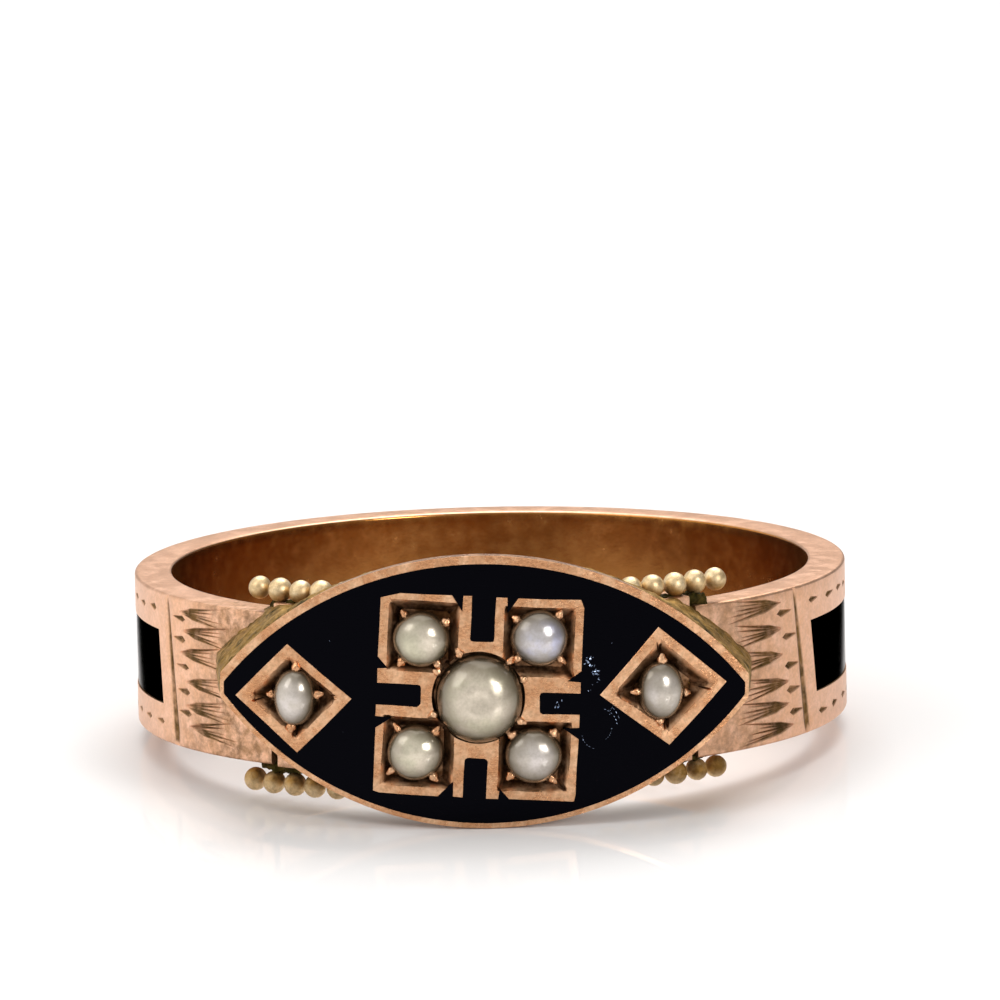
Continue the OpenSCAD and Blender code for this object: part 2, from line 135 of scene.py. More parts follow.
bpy.ops.object.camera_add()
camera = bpy.context.object
camera.name = "camera"
camera.data.sensor_width = SENSOR
camera.data.lens = FOCAL_PX / IMAGE * SENSOR
camera.data.clip_start = 0.01
camera.matrix_world = REST @ Matrix.Translation(back * CAMERA_AWAY * MM) @ turned
bpy.context.scene.camera = camera
print("lens", round(camera.data.lens, 1), "mm, height over the table",
      round(1000 * camera.location.z, 1), "mm")

# %% [markdown]
# ## Working at the bench
# Every piece is made large, one unit to the millimetre, and flat where it can be, as a goldsmith engraves
# a strip before it is bent. An operator's own tolerances are then small beside a chamfer of 0.08. In the
# flat, X runs round the finger, Y in from the face that shows and Z along the finger. A piece is bent
# and laid in the ring, a thousand times smaller, only when its cuts are done.

# %% Pick a piece up and put it down
def put_down():
    """Leaves edit mode and lets go of everything."""
    if bpy.context.object and bpy.context.object.mode != "OBJECT":
        bpy.ops.object.mode_set(mode="OBJECT")
    bpy.ops.object.select_all(action="DESELECT")


def take_up(*pieces):
    """Selects pieces, the first one active."""
    put_down()
    for piece in pieces:
        piece.select_set(True)
    bpy.context.view_layer.objects.active = pieces[0]


def open_up(piece, kind="FACE", action="DESELECT"):
    """Goes into edit mode, with nothing selected unless told to."""
    take_up(piece)
    bpy.ops.object.mode_set(mode="EDIT")
    bpy.ops.mesh.select_mode(type=kind)
    bpy.ops.mesh.select_all(action=action)


def choose(piece, test, kind="FACE"):
    """Opens a piece and selects what passes a test of its middle and its normal or direction."""
    open_up(piece, kind)
    mesh = bmesh.from_edit_mesh(piece.data)
    chosen = 0
    for part in {"VERT": mesh.verts, "EDGE": mesh.edges, "FACE": mesh.faces}[kind]:
        if kind == "VERT":
            middle, way = part.co, part.normal
        elif kind == "EDGE":
            ends = part.verts
            middle, way = (ends[0].co + ends[1].co) / 2, (ends[1].co - ends[0].co).normalized()
        else:
            middle, way = part.calc_center_median(), part.normal
        if test(middle, way):
            part.select_set(True)
            chosen += 1
    mesh.select_flush_mode()
    bmesh.update_edit_mesh(piece.data)
    return chosen



print("bench helpers ready")

# %% Start a piece, settle it and change it with a modifier
def settle(piece, place=None):
    """Writes a piece's place, turn and size into its mesh."""
    if place is not None:
        piece.matrix_world = place
    take_up(piece)
    bpy.ops.object.transform_apply(location=True, rotation=True, scale=True)


def start(name, shape, **sizes):
    """Adds a primitive of a size at its place, as a new piece."""
    put_down()
    getattr(bpy.ops.mesh, "primitive_" + shape + "_add")(**sizes)
    piece = bpy.context.object
    piece.name = piece.data.name = name
    settle(piece)
    return piece


def block(name, low, high):
    """A block between two corners."""
    middle = [(a + b) / 2 for a, b in zip(low, high)]
    return start(name, "cube", size=1, location=middle, scale=[b - a for a, b in zip(low, high)])


def change(piece, kind, **settings):
    """Adds a modifier and applies it."""
    take_up(piece)
    modifier = piece.modifiers.new(kind.lower(), kind)
    for setting, value in settings.items():
        setattr(modifier, setting, value)
    bpy.ops.object.modifier_apply(modifier=modifier.name)


def cut(piece, cutter, how="DIFFERENCE", crossing=False):
    """Cuts a piece by another, which is used up."""
    change(piece, "BOOLEAN", operation=how, object=cutter, solver="EXACT", use_self=crossing)
    bpy.data.objects.remove(cutter)


def copy_of(piece, name, place):
    """A copy with its own mesh, moved by a matrix."""
    twin = piece.copy()
    twin.data = piece.data.copy()
    twin.name = twin.data.name = name
    bpy.context.scene.collection.objects.link(twin)
    twin.data.transform(place)
    return twin


def join(name, pieces):
    """Makes one piece of several."""
    take_up(*pieces)
    if len(pieces) > 1:
        bpy.ops.object.join()
    pieces[0].name = pieces[0].data.name = name
    return pieces[0]


print("pieces can be started, cut, copied and joined")

# %% Slice and bend
def span(piece, axis=0):
    """Lowest and highest place of a piece along an axis."""
    places = [vertex.co[axis] for vertex in piece.data.vertices]
    return min(places), max(places)


def slice_across(piece, step, axis=0):
    """Cuts the faces at even steps along an axis, so that they can follow a bend."""
    low, high = span(piece, axis)
    way = Vector([float(axis == k) for k in range(3)])
    open_up(piece)
    for i in range(ceil(low / step + 0.01), floor(high / step - 0.01) + 1):
        bpy.ops.mesh.select_all(action="SELECT")
        bpy.ops.mesh.bisect(plane_co=way * i * step, plane_no=way, threshold=1e-5)
    put_down()


def bend(piece, radius):
    """Bends a flat piece round the finger: its face at Y = 0 gets the radius."""
    low, high = span(piece)
    change(piece, "SIMPLE_DEFORM", deform_method="BEND", deform_axis="Z", angle=(high - low) / radius)


def note_depth(piece, depth, label="low"):
    """Keeps on each vertex how deep it lies in a cut, or how much grime and painted shade it takes."""
    values = piece.data.attributes.new(label, "FLOAT", "POINT").data
    values.foreach_set("value", [depth(vertex.co) for vertex in piece.data.vertices])



def roughen(piece, voxel, strength):
    """Gives a piece the uneven skin of solder and old dirt."""
    change(piece, "REMESH", mode="VOXEL", voxel_size=voxel)
    change(piece, "DISPLACE", texture=solder_noise, strength=strength, mid_level=0.5)


solder_noise = bpy.data.textures.new("solder", "CLOUDS")
solder_noise.noise_scale = 0.3
solder_noise.noise_depth = 3


def hand_over(piece, place, finish, node_name="gold_body", smooth=32):
    """Lays a piece in the ring at its real size, gives it its finish and hides the model's part that it
    stands for.
    """
    settle(piece, REST @ Matrix.Scale(MM, 4) @ place)
    bpy.ops.object.shade_smooth_by_angle(angle=radians(smooth))
    piece.data.materials.clear()
    piece.data.materials.append(finish)
    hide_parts(node_name)
    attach(piece, "root")
    print(piece.name, len(piece.data.polygons), "faces")


print("pieces can be bent and laid in the ring")

# %% [markdown]
# ## Finishes
# Gold, enamel and pearl cover the ring. Two effects are shared, so they are node groups: wear, and the
# tarnish with painted shade that stays where polish never reaches. All of them read Object coordinates,
# in metres, or a value that is kept on each vertex of a piece.

# %% Node helpers
def feed(taker, inputs):
    """Sets or links a node's inputs."""
    for label, value in inputs.items():
        if isinstance(value, bpy.types.NodeSocket):
            taker.id_data.links.new(value, taker.inputs[label])
        else:
            taker.inputs[label].default_value = value


def node(tree, kind, inputs=None, **settings):
    """Adds a node with its settings and inputs."""
    made = tree.nodes.new(kind)
    for setting, value in settings.items():
        setattr(made, setting, value)
    feed(made, inputs or {})
    return made


def new_group(name, inputs, outputs):
    """A node group with named sockets: its tree, its inputs and its output node."""
    tree = bpy.data.node_groups.new(name, "ShaderNodeTree")
    for label, value in inputs.items():
        socket = tree.interface.new_socket(label, in_out="INPUT", socket_type="NodeSocketFloat")
        socket.default_value = value
    for label in outputs:
        tree.interface.new_socket(label, in_out="OUTPUT", socket_type="NodeSocketFloat")
    return tree, tree.nodes.new("NodeGroupInput").outputs, tree.nodes.new("NodeGroupOutput")


def new_finish(name):
    """A material, its node tree and its shader."""
    finish = bpy.data.materials.new(name)
    finish.use_nodes = True
    return finish, finish.node_tree, finish.node_tree.nodes["Principled BSDF"]


def ramp(source, low, high, low_value=0.0, high_value=1.0):
    """Runs a value from one range into another, smoothly."""
    inputs = {"Value": source, "From Min": low, "From Max": high, "To Min": low_value, "To Max": high_value}
    mapped = node(source.id_data, "ShaderNodeMapRange", inputs, interpolation_type="SMOOTHSTEP")
    return mapped.outputs["Result"]


def blend_colours(factor, first, second):
    """Mixes two colours, each a socket or a plain colour."""
    first, second = ((*colour, 1) if isinstance(colour, tuple) else colour for colour in (first, second))
    mixed = node(factor.id_data, "ShaderNodeMix", {0: factor, 6: first, 7: second}, data_type="RGBA")
    return mixed.outputs[2]


def noise(vector, scale, detail=3.0, roughness=0.5):
    """Noise between 0 and 1, its scale in waves to the metre."""
    inputs = {"Vector": vector, "Scale": scale, "Detail": detail, "Roughness": roughness}
    return node(vector.id_data, "ShaderNodeTexNoise", inputs).outputs["Fac"]


def combine(kind, first, second):
    """One arithmetic step on two sockets or numbers."""
    tree = (second if isinstance(first, float) else first).id_data
    return node(tree, "ShaderNodeMath", {0: first, 1: second}, operation=kind).outputs[0]


def place_on(tree):
    """The place on a piece, in metres."""
    return node(tree, "ShaderNodeTexCoord").outputs["Object"]


def kept(tree, label):
    """A value that is kept on each vertex, and 0 on a piece that keeps none."""
    return node(tree, "ShaderNodeAttribute", attribute_name=label).outputs["Fac"]


def bumps(height, strength, distance):
    """The normal of a surface that a height makes uneven."""
    inputs = {"Height": height, "Strength": strength, "Distance": distance}
    return node(height.id_data, "ShaderNodeBump", inputs).outputs["Normal"]


print("node helpers ready")

# %% [markdown]
# ### Wear
# A worn ring is crossed by fine scratches in a few directions, and its surface is a little uneven from
# filing. The group stretches noise three ways for the scratches and adds lumps and grain. It puts out a
# height for the bump, a value that varies the gloss and fine specks.

# %% Wear group
SCRATCH_DEPTH = 0.3
wear, wear_in, wear_out = new_group("wear", {"Scratches": 1.0, "Lumps": 1.0}, ["Height", "Gloss", "Speckle"])
wear_place = place_on(wear)
scratches = 0.0
# turn of the scratches, waves to the metre along them and over them
for turn, along, over in ((0.3, 1300, 26000), (-0.5, 1700, 30000), (1.2, 1500, 24000)):
    drawn_out = node(wear, "ShaderNodeMapping", {"Vector": wear_place, "Rotation": (turn, turn * 0.7, turn),
                                                 "Scale": (along, over, over)}).outputs["Vector"]
    scratches = combine("ADD", scratches, ramp(noise(drawn_out, 1.0, 2.0), 0.6, 0.72))
lumps = noise(wear_place, 2200, 5.0, 0.6)
fine = noise(wear_place, 11000, 3.0, 0.6)
scratches = combine("MULTIPLY", scratches, wear_in["Scratches"])
scratches = combine("MULTIPLY", scratches, SCRATCH_DEPTH)
uneven = combine("MULTIPLY", combine("ADD", lumps, fine), wear_in["Lumps"])
feed(wear_out, {"Height": combine("SUBTRACT", uneven, scratches), "Gloss": lumps,
                "Speckle": ramp(fine, 0.42, 0.62)})
print("wear group:", len(wear.nodes), "nodes")

# %% [markdown]
# ### Tarnish and painted shade
# Low-carat gold tarnishes where nothing rubs it: in engraved lines, round the beads and behind the rim,
# and the same mask paints shade into these low places. The group turns the depth kept on a piece into a
# mask, broken up by noise so that no line is evenly dark, and adds patches over the rest, thicker where
# a piece keeps stains and painted shade.

# %% Tarnish and painted shade group
tarnish_and_shade, tarnish_shade_in, tarnish_shade_out = new_group(
    "tarnish_and_shade", {"In Cuts": 1.0, "Patches": 0.2, "Full Depth": 0.08, "Patch Scale": 900.0}, ["Mask", "Hue"])
tarnish_shade_place = place_on(tarnish_and_shade)
# the deeper a place lies in a cut, the darker it is painted: tarnish and painted shade
depth_share = combine("DIVIDE", kept(tarnish_and_shade, "low"), tarnish_shade_in["Full Depth"])
breakup = ramp(noise(tarnish_shade_place, 2600, 4.0, 0.6), 0.3, 0.6, 0.6, 1.0)
in_cuts = combine("MULTIPLY", ramp(depth_share, 0.0, 0.9), breakup)
in_cuts = combine("MULTIPLY", in_cuts, tarnish_shade_in["In Cuts"])
patches = ramp(noise(tarnish_shade_place, tarnish_shade_in["Patch Scale"], 6.0, 0.7), 0.3, 0.68)
most = combine("MAXIMUM", kept(tarnish_and_shade, "stain_shade"), tarnish_shade_in["Patches"])
patches = combine("MULTIPLY", patches, most)
feed(tarnish_shade_out, {"Mask": combine("MAXIMUM", in_cuts, patches),
                   "Hue": ramp(noise(tarnish_shade_place, 2400, 4.0, 0.6), 0.4, 0.6)})
print("tarnish group:", len(tarnish_and_shade.nodes), "nodes")

# %% [markdown]
# ### Gold
# One recipe makes every gold: a rubbed colour that varies a little, tarnish with painted shade between two
# hues, and a roughness that rises with it. The band is satin and the head brighter. The beads and the wall
# behind the rim are yellower and dirtier, because polish stops short of them, and the wall also carries
# painted shade.

# %% Gold finishes
GLOSS_RANGE = 0.12
DIRT_DULLS = 0.3


def gold(name, rubbed, paler, dirt_and_shade, dirt_and_shade_two, roughness, in_cuts, patches, full_depth, patch_scale=900.0,
         scratches=0.5, lumps=1.0, mottle=0.4, relief=0.3):
    """A gold finish; the colours are linear, the roughness is that of the rubbed metal. Its two darkest
    colours paint old grime together with painted shade where the mask lies.
    """
    finish, tree, shader = new_finish(name)
    worn = node(tree, "ShaderNodeGroup", {"Scratches": scratches, "Lumps": lumps}, node_tree=wear).outputs
    tarnish_shade_outputs = node(tree, "ShaderNodeGroup", {"In Cuts": in_cuts, "Patches": patches, "Full Depth": full_depth,
                                           "Patch Scale": patch_scale}, node_tree=tarnish_and_shade).outputs
    clean = blend_colours(ramp(worn["Gloss"], 0.35, 0.75), rubbed, paler)
    specks = combine("MULTIPLY", worn["Speckle"], mottle)
    clean = blend_colours(specks, clean, tuple(0.5 * part for part in rubbed))
    dirt_and_shade_colour = blend_colours(tarnish_shade_outputs["Hue"], dirt_and_shade, dirt_and_shade_two)
    varied = ramp(worn["Gloss"], 0.3, 0.9, roughness, roughness + GLOSS_RANGE)
    dulled = combine("MULTIPLY", tarnish_shade_outputs["Mask"], DIRT_DULLS)
    # the mask mixes in the dirt colours, which paint shade as well as grime in the low places
    feed(shader, {"Base Color": blend_colours(tarnish_shade_outputs["Mask"], clean, dirt_and_shade_colour), "Metallic": 1.0,
                  "Roughness": combine("ADD", varied, dulled),
                  "Normal": bumps(worn["Height"], relief, 0.000015)})
    print(name, len(tree.nodes), "nodes")
    return finish


OLIVE = (0.11, 0.065, 0.022)
BROWN = (0.06, 0.025, 0.01)
# rubbed, paler, dirt with painted shade and its second hue, roughness, share of dirt and painted shade in
# cuts and in patches, full depth, patch scale
# the band's cuts are darkened with olive tarnish and painted shade
band_gold = gold("band_gold", (0.76, 0.43, 0.26), (0.88, 0.55, 0.38), OLIVE, (0.24, 0.135, 0.05), 0.34,
                 1.0, 0.05, 0.035, 3200.0, mottle=0.2)
# the head's near-black dirt fills its seats, sinks and pits: old grime and painted shade
head_gold = gold("head_gold", (0.67, 0.33, 0.16), (0.92, 0.58, 0.35), (0.03, 0.012, 0.005),
                 (0.08, 0.033, 0.011), 0.23, 1.0, 0.12, 0.11, 1800.0, scratches=0.6, mottle=0.3, relief=0.5)
bead_gold = gold("bead_gold", (0.80, 0.60, 0.34), (0.96, 0.80, 0.54), (0.24, 0.13, 0.035),
                 (0.46, 0.27, 0.08), 0.4, 1.0, 0.3, 0.35, 2600.0)
# the wall behind the rim: dark gold and near-black dirt, partly painted shade under the head
dull_gold_with_shade = gold("dull_gold_with_shade", (0.36, 0.2, 0.05), (0.86, 0.56, 0.22), (0.014, 0.015, 0.004),
                 (0.24, 0.14, 0.025), 0.4, 0.5, 1.0, 0.08, 1700.0, mottle=0.6, relief=1.0)
# the strips under the beads: near-black solder, with painted shadow where they lie in shade
black_solder_and_shadow = gold("black_solder_and_shadow", (0.12, 0.09, 0.02), (0.34, 0.22, 0.06), (0.008, 0.01, 0.004),
                  (0.05, 0.04, 0.01), 0.5, 0.9, 0.9, 0.08, 3600.0, relief=1.0)
# the inside of the band: a darker copy of the band's gold, painted shade
inside_gold_painted_shade = gold("inside_gold_painted_shade", (0.42, 0.185, 0.05), (0.48, 0.22, 0.065), BROWN, (0.05, 0.02, 0.008),
                   0.18, 0.0, 0.0, 0.08, scratches=0.1, lumps=0.4, mottle=0.1, relief=0.15)

# %% [markdown]
# ### Enamel
# Enamel is glass, ground level and polished. It is almost black with a blue cast, has a few pinholes,
# chips and scratches, which are painted pale blue for their broken glass and for the glints they catch, and
# stays black where it is seen along its surface. A plain gloss turns pale there, so the shine is a dark
# metal's, whose edge tint is black, except in the chips.

# %% Enamel finish
def enamel(name, tint, chip_tone_and_glint):
    """Black enamel, with the colour of its chips and pinholes, which also paints the glints they catch."""
    finish, tree, shader = new_finish(name)
    place = place_on(tree)
    worn = node(tree, "ShaderNodeGroup", {"Scratches": 1.0, "Lumps": 0.4}, node_tree=wear).outputs
    pinholes = node(tree, "ShaderNodeTexVoronoi", {"Vector": place, "Scale": 1400.0}).outputs["Distance"]
    rare = ramp(noise(place, 500, 2.0), 0.58, 0.62)
    specks = combine("MULTIPLY", ramp(pinholes, 0.03, 0.05, 0.6, 0.0), rare)
    broken = ramp(noise(place, 16000), 0.35, 0.65, 0.3, 1.0)
    # chips and pinholes: a pale colour for broken glass, and a painted glint
    chips_and_glints = combine("MAXIMUM", specks, combine("MULTIPLY", kept(tree, "low"), broken))
    feed(shader, {"Base Color": blend_colours(chips_and_glints, tint, chip_tone_and_glint),
                  "Metallic": combine("SUBTRACT", 1.0, chips_and_glints),
                  "Specular Tint": (0, 0, 0, 1),
                  "Roughness": ramp(worn["Gloss"], 0.3, 1.0, 0.07, 0.2),
                  "Normal": bumps(worn["Height"], 0.1, 0.00001)})
    print(name, len(tree.nodes), "nodes")
    return finish


head_black = enamel("head_black", (0.003, 0.003, 0.0045), (0.5, 0.62, 0.85))
side_black = enamel("side_black", (0.006, 0.007, 0.006), (0.1, 0.12, 0.12))

# %% [markdown]
# ### Pearl
# A pearl is grey-white with a soft, deep lustre, half way to a metal's, under a clear coat. Its colour
# drifts between cream, green and violet in patches. Painted shade darkens it toward its rim, and old dirt
# with painted shade darkens it most where it meets the setting.

# %% Pearl finish
CLOUD = (0.24, 0.21, 0.15)
SPECKS = (0.24, 0.2, 0.13)
SHADE = (0.13, 0.095, 0.05)
SEAT_DIRT_AND_SHADE = (0.03, 0.018, 0.008)


def pearl(name, body, cast):
    """A pearl, with its body's colour and the cast that drifts over it."""
    finish, tree, shader = new_finish(name)
    place = place_on(tree)
    down = kept(tree, "low")
    clouds = ramp(noise(place, 1900, 4.0, 0.6), 0.42, 0.66, 0.0, 0.28)
    speckle = ramp(noise(place, 14000, 3.0, 0.6), 0.4, 0.65, 0.0, 0.15)
    colour = blend_colours(ramp(noise(place, 1100), 0.38, 0.62), body, cast)
    # painted shade darkens the pearl toward its rim, dirt and painted shade at its seat
    for share, tint in ((clouds, CLOUD), (speckle, SPECKS), (ramp(down, -0.05, 0.5, 0.0, 0.92), SHADE),
                        (ramp(down, 0.4, 0.75), SEAT_DIRT_AND_SHADE)):
        colour = blend_colours(share, colour, tint)
    feed(shader, {"Base Color": colour, "Roughness": 0.27, "Metallic": 0.45, "Coat Weight": 0.7,
                  "Coat Roughness": 0.07, "Coat IOR": 1.6,
                  "Normal": bumps(noise(place, 5000, 4.0), 0.35, 0.00001)})
    print(name, len(tree.nodes), "nodes")
    return finish


cream_pearl = pearl("cream_pearl", (0.62, 0.58, 0.42), (0.81, 0.71, 0.57))
violet_pearl = pearl("violet_pearl", (0.58, 0.55, 0.56), (0.58, 0.61, 0.86))
grey_pearl = pearl("grey_pearl", (0.58, 0.52, 0.45), (0.72, 0.66, 0.62))

# %% [markdown]
# ## The band
# The band is one strip of gold. Under the head a wider stretch is the head's base, and sawn grooves part
# the two. It could be made round from the start, but an engraver's cuts are far easier to set out on a
# flat strip, so it is cut flat and bent round the finger last.

# %% Where marks lie on the strip
def tip_arc(side):
    """Length round the band from the front to the head's tip."""
    return BAND_R * asin((HEAD_A + side * HEAD_X) / BAND_R)


def mark_x(side, length, z):
    """Place round the band of a mark past the tip; the marks lean with the height."""
    lean = {LEFT: LEFT_LEAN, RIGHT: RIGHT_LEAN}[side]
    return side * (tip_arc(side) + length) - z * tan(lean)


LEFT_LEAN = radians(5.7)
RIGHT_LEAN = radians(9.3)
joint = {side: tip_arc(side) - BASE_IN for side in (LEFT, RIGHT)}
print("the head's tips lie", round(tip_arc(LEFT), 2), "and", round(tip_arc(RIGHT), 2), "mm round")

# %% The plain strip
half_round = pi * BAND_R
band = block("band", (-half_round, 0, -BAND_W / 2), (half_round, BAND_T, BAND_W / 2))
choose(band, lambda middle, way: abs(way.x) > 0.9, "EDGE")
bpy.ops.mesh.bevel(offset=BAND_EDGE, segments=5, affect="EDGES")

base = block("base", (-joint[LEFT] + JOINT_GAP, 0, BASE_SHORT - BASE_W / 2),
             (joint[RIGHT] - JOINT_GAP, BAND_T - 0.002, BASE_W / 2))
choose(base, lambda middle, way: abs(way.x) > 0.9 and middle.y < BAND_T / 2, "EDGE")
bpy.ops.mesh.bevel(offset=BAND_EDGE / 2, segments=2, affect="EDGES")
cut(band, base, "UNION")
for side in (LEFT, RIGHT):
    ends = sorted((side * joint[side], side * (joint[side] - JOINT_GAP)))
    cut(band, block("saw", (ends[0], -1, -BASE_W), (ends[1], JOINT_DEPTH, BASE_W)))
print("strip", round(2 * half_round, 2), "mm long,", len(band.data.polygons), "faces")

# %% [markdown]
# ### Engraving
# A graver leaves a V-shaped cut that swells quickly and dies away slowly. One such shape is made, and
# each mark is a copy of it: turned, stretched and taken out of the strip. Its middle is lifted a little
# off the face, because a corner that lies just in the face spoils the cut. The shoulders carry a row of
# wedges, each a fan of five cuts from its point to its root, short ticks between them, and a line across.

# %% The shape of a graver's cut
SWELL = 0.03
GRAVER_R = 1.15
GRAVER_TAIL = 0.5
GRAVER_RISE = 0.22
graver = start("graver", "uv_sphere", segments=4, ring_count=3, radius=1, rotation=(0, pi / 2, 0))
graver.data.transform(Matrix.Translation((0.5, 0, 0)) @ Matrix.Diagonal((0.5, GRAVER_R, GRAVER_R, 1)))
choose(graver, lambda place, way: 0.1 < place.x < 0.9, "VERT")
bpy.ops.transform.translate(value=(SWELL, 0, 0))
choose(graver, lambda place, way: 0.5 < place.x < 0.9, "VERT")
bpy.ops.transform.resize(value=(1, GRAVER_TAIL, GRAVER_TAIL))
put_down()
marks = {}


def mark(x, z, to_x, to_z, wide, deep, turn):
    """One graver's cut, from where the graver goes in to where the cut dies away."""
    way = atan2(to_z - z, to_x - x)
    length = hypot(to_x - x, to_z - z)
    place = (Matrix.Translation((x, -GRAVER_RISE * deep, z)) @ Matrix.Rotation(-way, 4, "Y")
             @ Matrix.Diagonal((length, deep, wide / 2, 1)))
    marks.setdefault(turn, []).append(copy_of(graver, "mark", place))


def cut_marks(piece):
    """Takes the marks out of a piece, one turn after another, because marks of one turn never cross."""
    for turn in sorted(marks):
        cut(piece, join("marks", marks[turn]))
    print(len(marks), "turns of cuts,", len(piece.data.polygons), "faces left")
    marks.clear()


print("graver shape:", [tuple(round(c, 2) for c in vertex.co) for vertex in graver.data.vertices])

# %% Set out the shoulders
# heights of the wedges' points along the finger, where the engraver put them
WEDGE_ROWS = {LEFT: (1.65, 1.15, 0.55, -0.2, -0.85, -1.4), RIGHT: (1.7, 1.0, 0.3, -0.45, -1.05, -1.65)}
WEDGE_OUT = {LEFT: 1.95, RIGHT: 1.78}
WEDGE_LEN = 2.5
WEDGE_WIDE = (0.15, 0.22)
WEDGE_DEEP = (0.06, 0.09)
# how far each cut of a fan ends from its middle, and how long it is, as shares
FAN_CUTS = ((-1, 1), (1, 1), (0, 0.9), (-0.5, 0.95), (0.5, 0.85))
FAN = 0.34
LINE_OUT = 2.46
TICK_LEN = 0.85
TICK_WIDE = (0.26, 0.34)
TICK_DEEP = 0.1
TICKS = len(FAN_CUTS)
hand = random.Random(11)


def slip(most):
    """A small slip of the hand, either way."""
    return hand.uniform(-most, most)


def shoulder(side):
    """Wedges and the ticks between them, on one shoulder."""
    rows = WEDGE_ROWS[side]
    for z in rows:
        out = WEDGE_OUT[side] + hand.uniform(-0.05, 0.2)
        for turn, (finger, share) in enumerate(FAN_CUTS):
            root = finger * FAN + slip(0.03)
            long = WEDGE_LEN * share * hand.uniform(0.9, 1.1)
            point = out - abs(finger) * 0.06 - hand.uniform(0, 0.06)
            mark(mark_x(side, point, z), z + finger * 0.01, mark_x(side, out - long, z), z + root,
                 hand.uniform(*WEDGE_WIDE), hand.uniform(*WEDGE_DEEP), turn)
    for above, below in zip(rows, rows[1:]):
        z = (above + below) / 2 + hand.uniform(-0.05, 0.1)
        begin = LINE_OUT - TICK_LEN - hand.uniform(0.0, 0.15)
        mark(mark_x(side, begin, z), z, mark_x(side, begin + TICK_LEN, z), z + 0.04,
             hand.uniform(*TICK_WIDE), TICK_DEEP, TICKS)


for side in (LEFT, RIGHT):
    shoulder(side)
print("shoulders set out in", len(marks), "turns")

# %% Set out the borders of the panels
PANEL_OUT = 3.2
PANEL_LEN = 7.9
PANEL_H = 1.98
PANEL_T = 0.3
BORDER_PITCH = 1.05
border_z = (BAND_W + PANEL_H) / 4


def border(side):
    """Ticks above and below a panel."""
    for edge in (UP, DOWN):
        for i in range(int(PANEL_LEN / BORDER_PITCH) + 1):
            z = edge * border_z + slip(0.05)
            begin = PANEL_OUT + i * BORDER_PITCH + slip(0.08)
            mark(mark_x(side, begin, z), z, mark_x(side, begin + hand.uniform(0.6, 0.85), z),
                 z + slip(0.06), hand.uniform(0.25, 0.33), 0.09, TICKS)


for side in (LEFT, RIGHT):
    border(side)
print(len(marks[TICKS]), "ticks with the borders")

# %% Score the lines across and cut all marks
LINE_LOW = -4.2
LINE_HIGH = 5.0
LINE_WIDE = 0.5
LINE_DEEP = 0.08
for side in (LEFT, RIGHT):
    for length in (LINE_OUT, PANEL_OUT + PANEL_LEN + 0.7):
        # one long stroke, which runs on past both edges
        mark(mark_x(side, length, LINE_LOW), LINE_LOW, mark_x(side, length, LINE_HIGH), LINE_HIGH,
             LINE_WIDE, LINE_DEEP, TICKS + 1)
cut_marks(band)

# %% [markdown]
# ### Panels
# Each side of the band is sunk for a panel of enamel whose ends lean as the engraving does. One outline
# makes both the sink in the gold and, a hair smaller, the enamel that fills it.

# %% Scribe an outline and sink the panels
def scribe(name, corners, low, high):
    """A slab between two depths, from the corners of an outline in X and Z."""
    slab = start(name, "circle", vertices=len(corners), fill_type="NGON")
    for vertex, (x, z) in zip(slab.data.vertices, corners):
        vertex.co = (x, low, z)
    open_up(slab, action="SELECT")
    bpy.ops.mesh.extrude_region_move(TRANSFORM_OT_translate={"value": (0, high - low, 0)})
    bpy.ops.mesh.select_all(action="SELECT")
    bpy.ops.mesh.normals_make_consistent(inside=False)
    put_down()
    return slab


def panel_slab(name, side, low, high, less=0.0):
    """The panel's outline between two depths, drawn in by a hair."""
    z = PANEL_H / 2 - less
    near, far = PANEL_OUT + less, PANEL_OUT + PANEL_LEN - less
    corners = [(mark_x(side, near, z), z), (mark_x(side, near, -z), -z),
               (mark_x(side, far, -z), -z), (mark_x(side, far, z), z)]
    return scribe(name, corners, low, high)


for side in (LEFT, RIGHT):
    cut(band, panel_slab("sink", side, -1, PANEL_T))
print(len(band.data.polygons), "faces with the sinks")

# %% Bend the band round
STEP = 0.3
# how far and how strongly grime and painted shade spread out from the head
STAIN_SHADE_LEN = 1.8
LOW_STAIN_SHADE = 0.9
MOST_STAIN_SHADE = {LEFT: 0.65, RIGHT: 0.45}
LEAST_STAIN = 0.06


def stain_and_shade_at(place):
    """How much grime and painted shade darken the band: most beside the head, where its shade is painted, and
    further out low on the left.
    """
    side = LEFT if place.x < 0 else RIGHT
    reach = STAIN_SHADE_LEN + (LOW_STAIN_SHADE * max(-place.z, 0) if side == LEFT else 0)
    share = 1 - (abs(place.x) - tip_arc(side)) / reach
    return LEAST_STAIN + MOST_STAIN_SHADE[side] * min(max(share, 0), 1)


def sunk(place):
    """How deep a place lies in a cut or a sink of the band's face."""
    on_face = abs(place.z) < BAND_W / 2 - BAND_EDGE * 1.01 and place.y < PANEL_T + 0.1
    return max(place.y, 0) if on_face else 0


slice_across(band, 0.85, 2)
note_depth(band, sunk)
slice_across(band, STEP)
# grime everywhere, and beside the head painted shade, kept for the band's finish
note_depth(band, stain_and_shade_at, "stain_shade")
choose(band, lambda middle, way: abs(middle.x) > half_round - 0.001)
bpy.ops.mesh.delete(type="FACE")
put_down()
bend(band, BAND_R)
choose(band, lambda place, way: place.y > BAND_R and abs(place.x) < 0.01, "VERT")
bpy.ops.mesh.remove_doubles(threshold=0.002)
put_down()
hand_over(band, BAND_PLACE, band_gold, smooth=19)

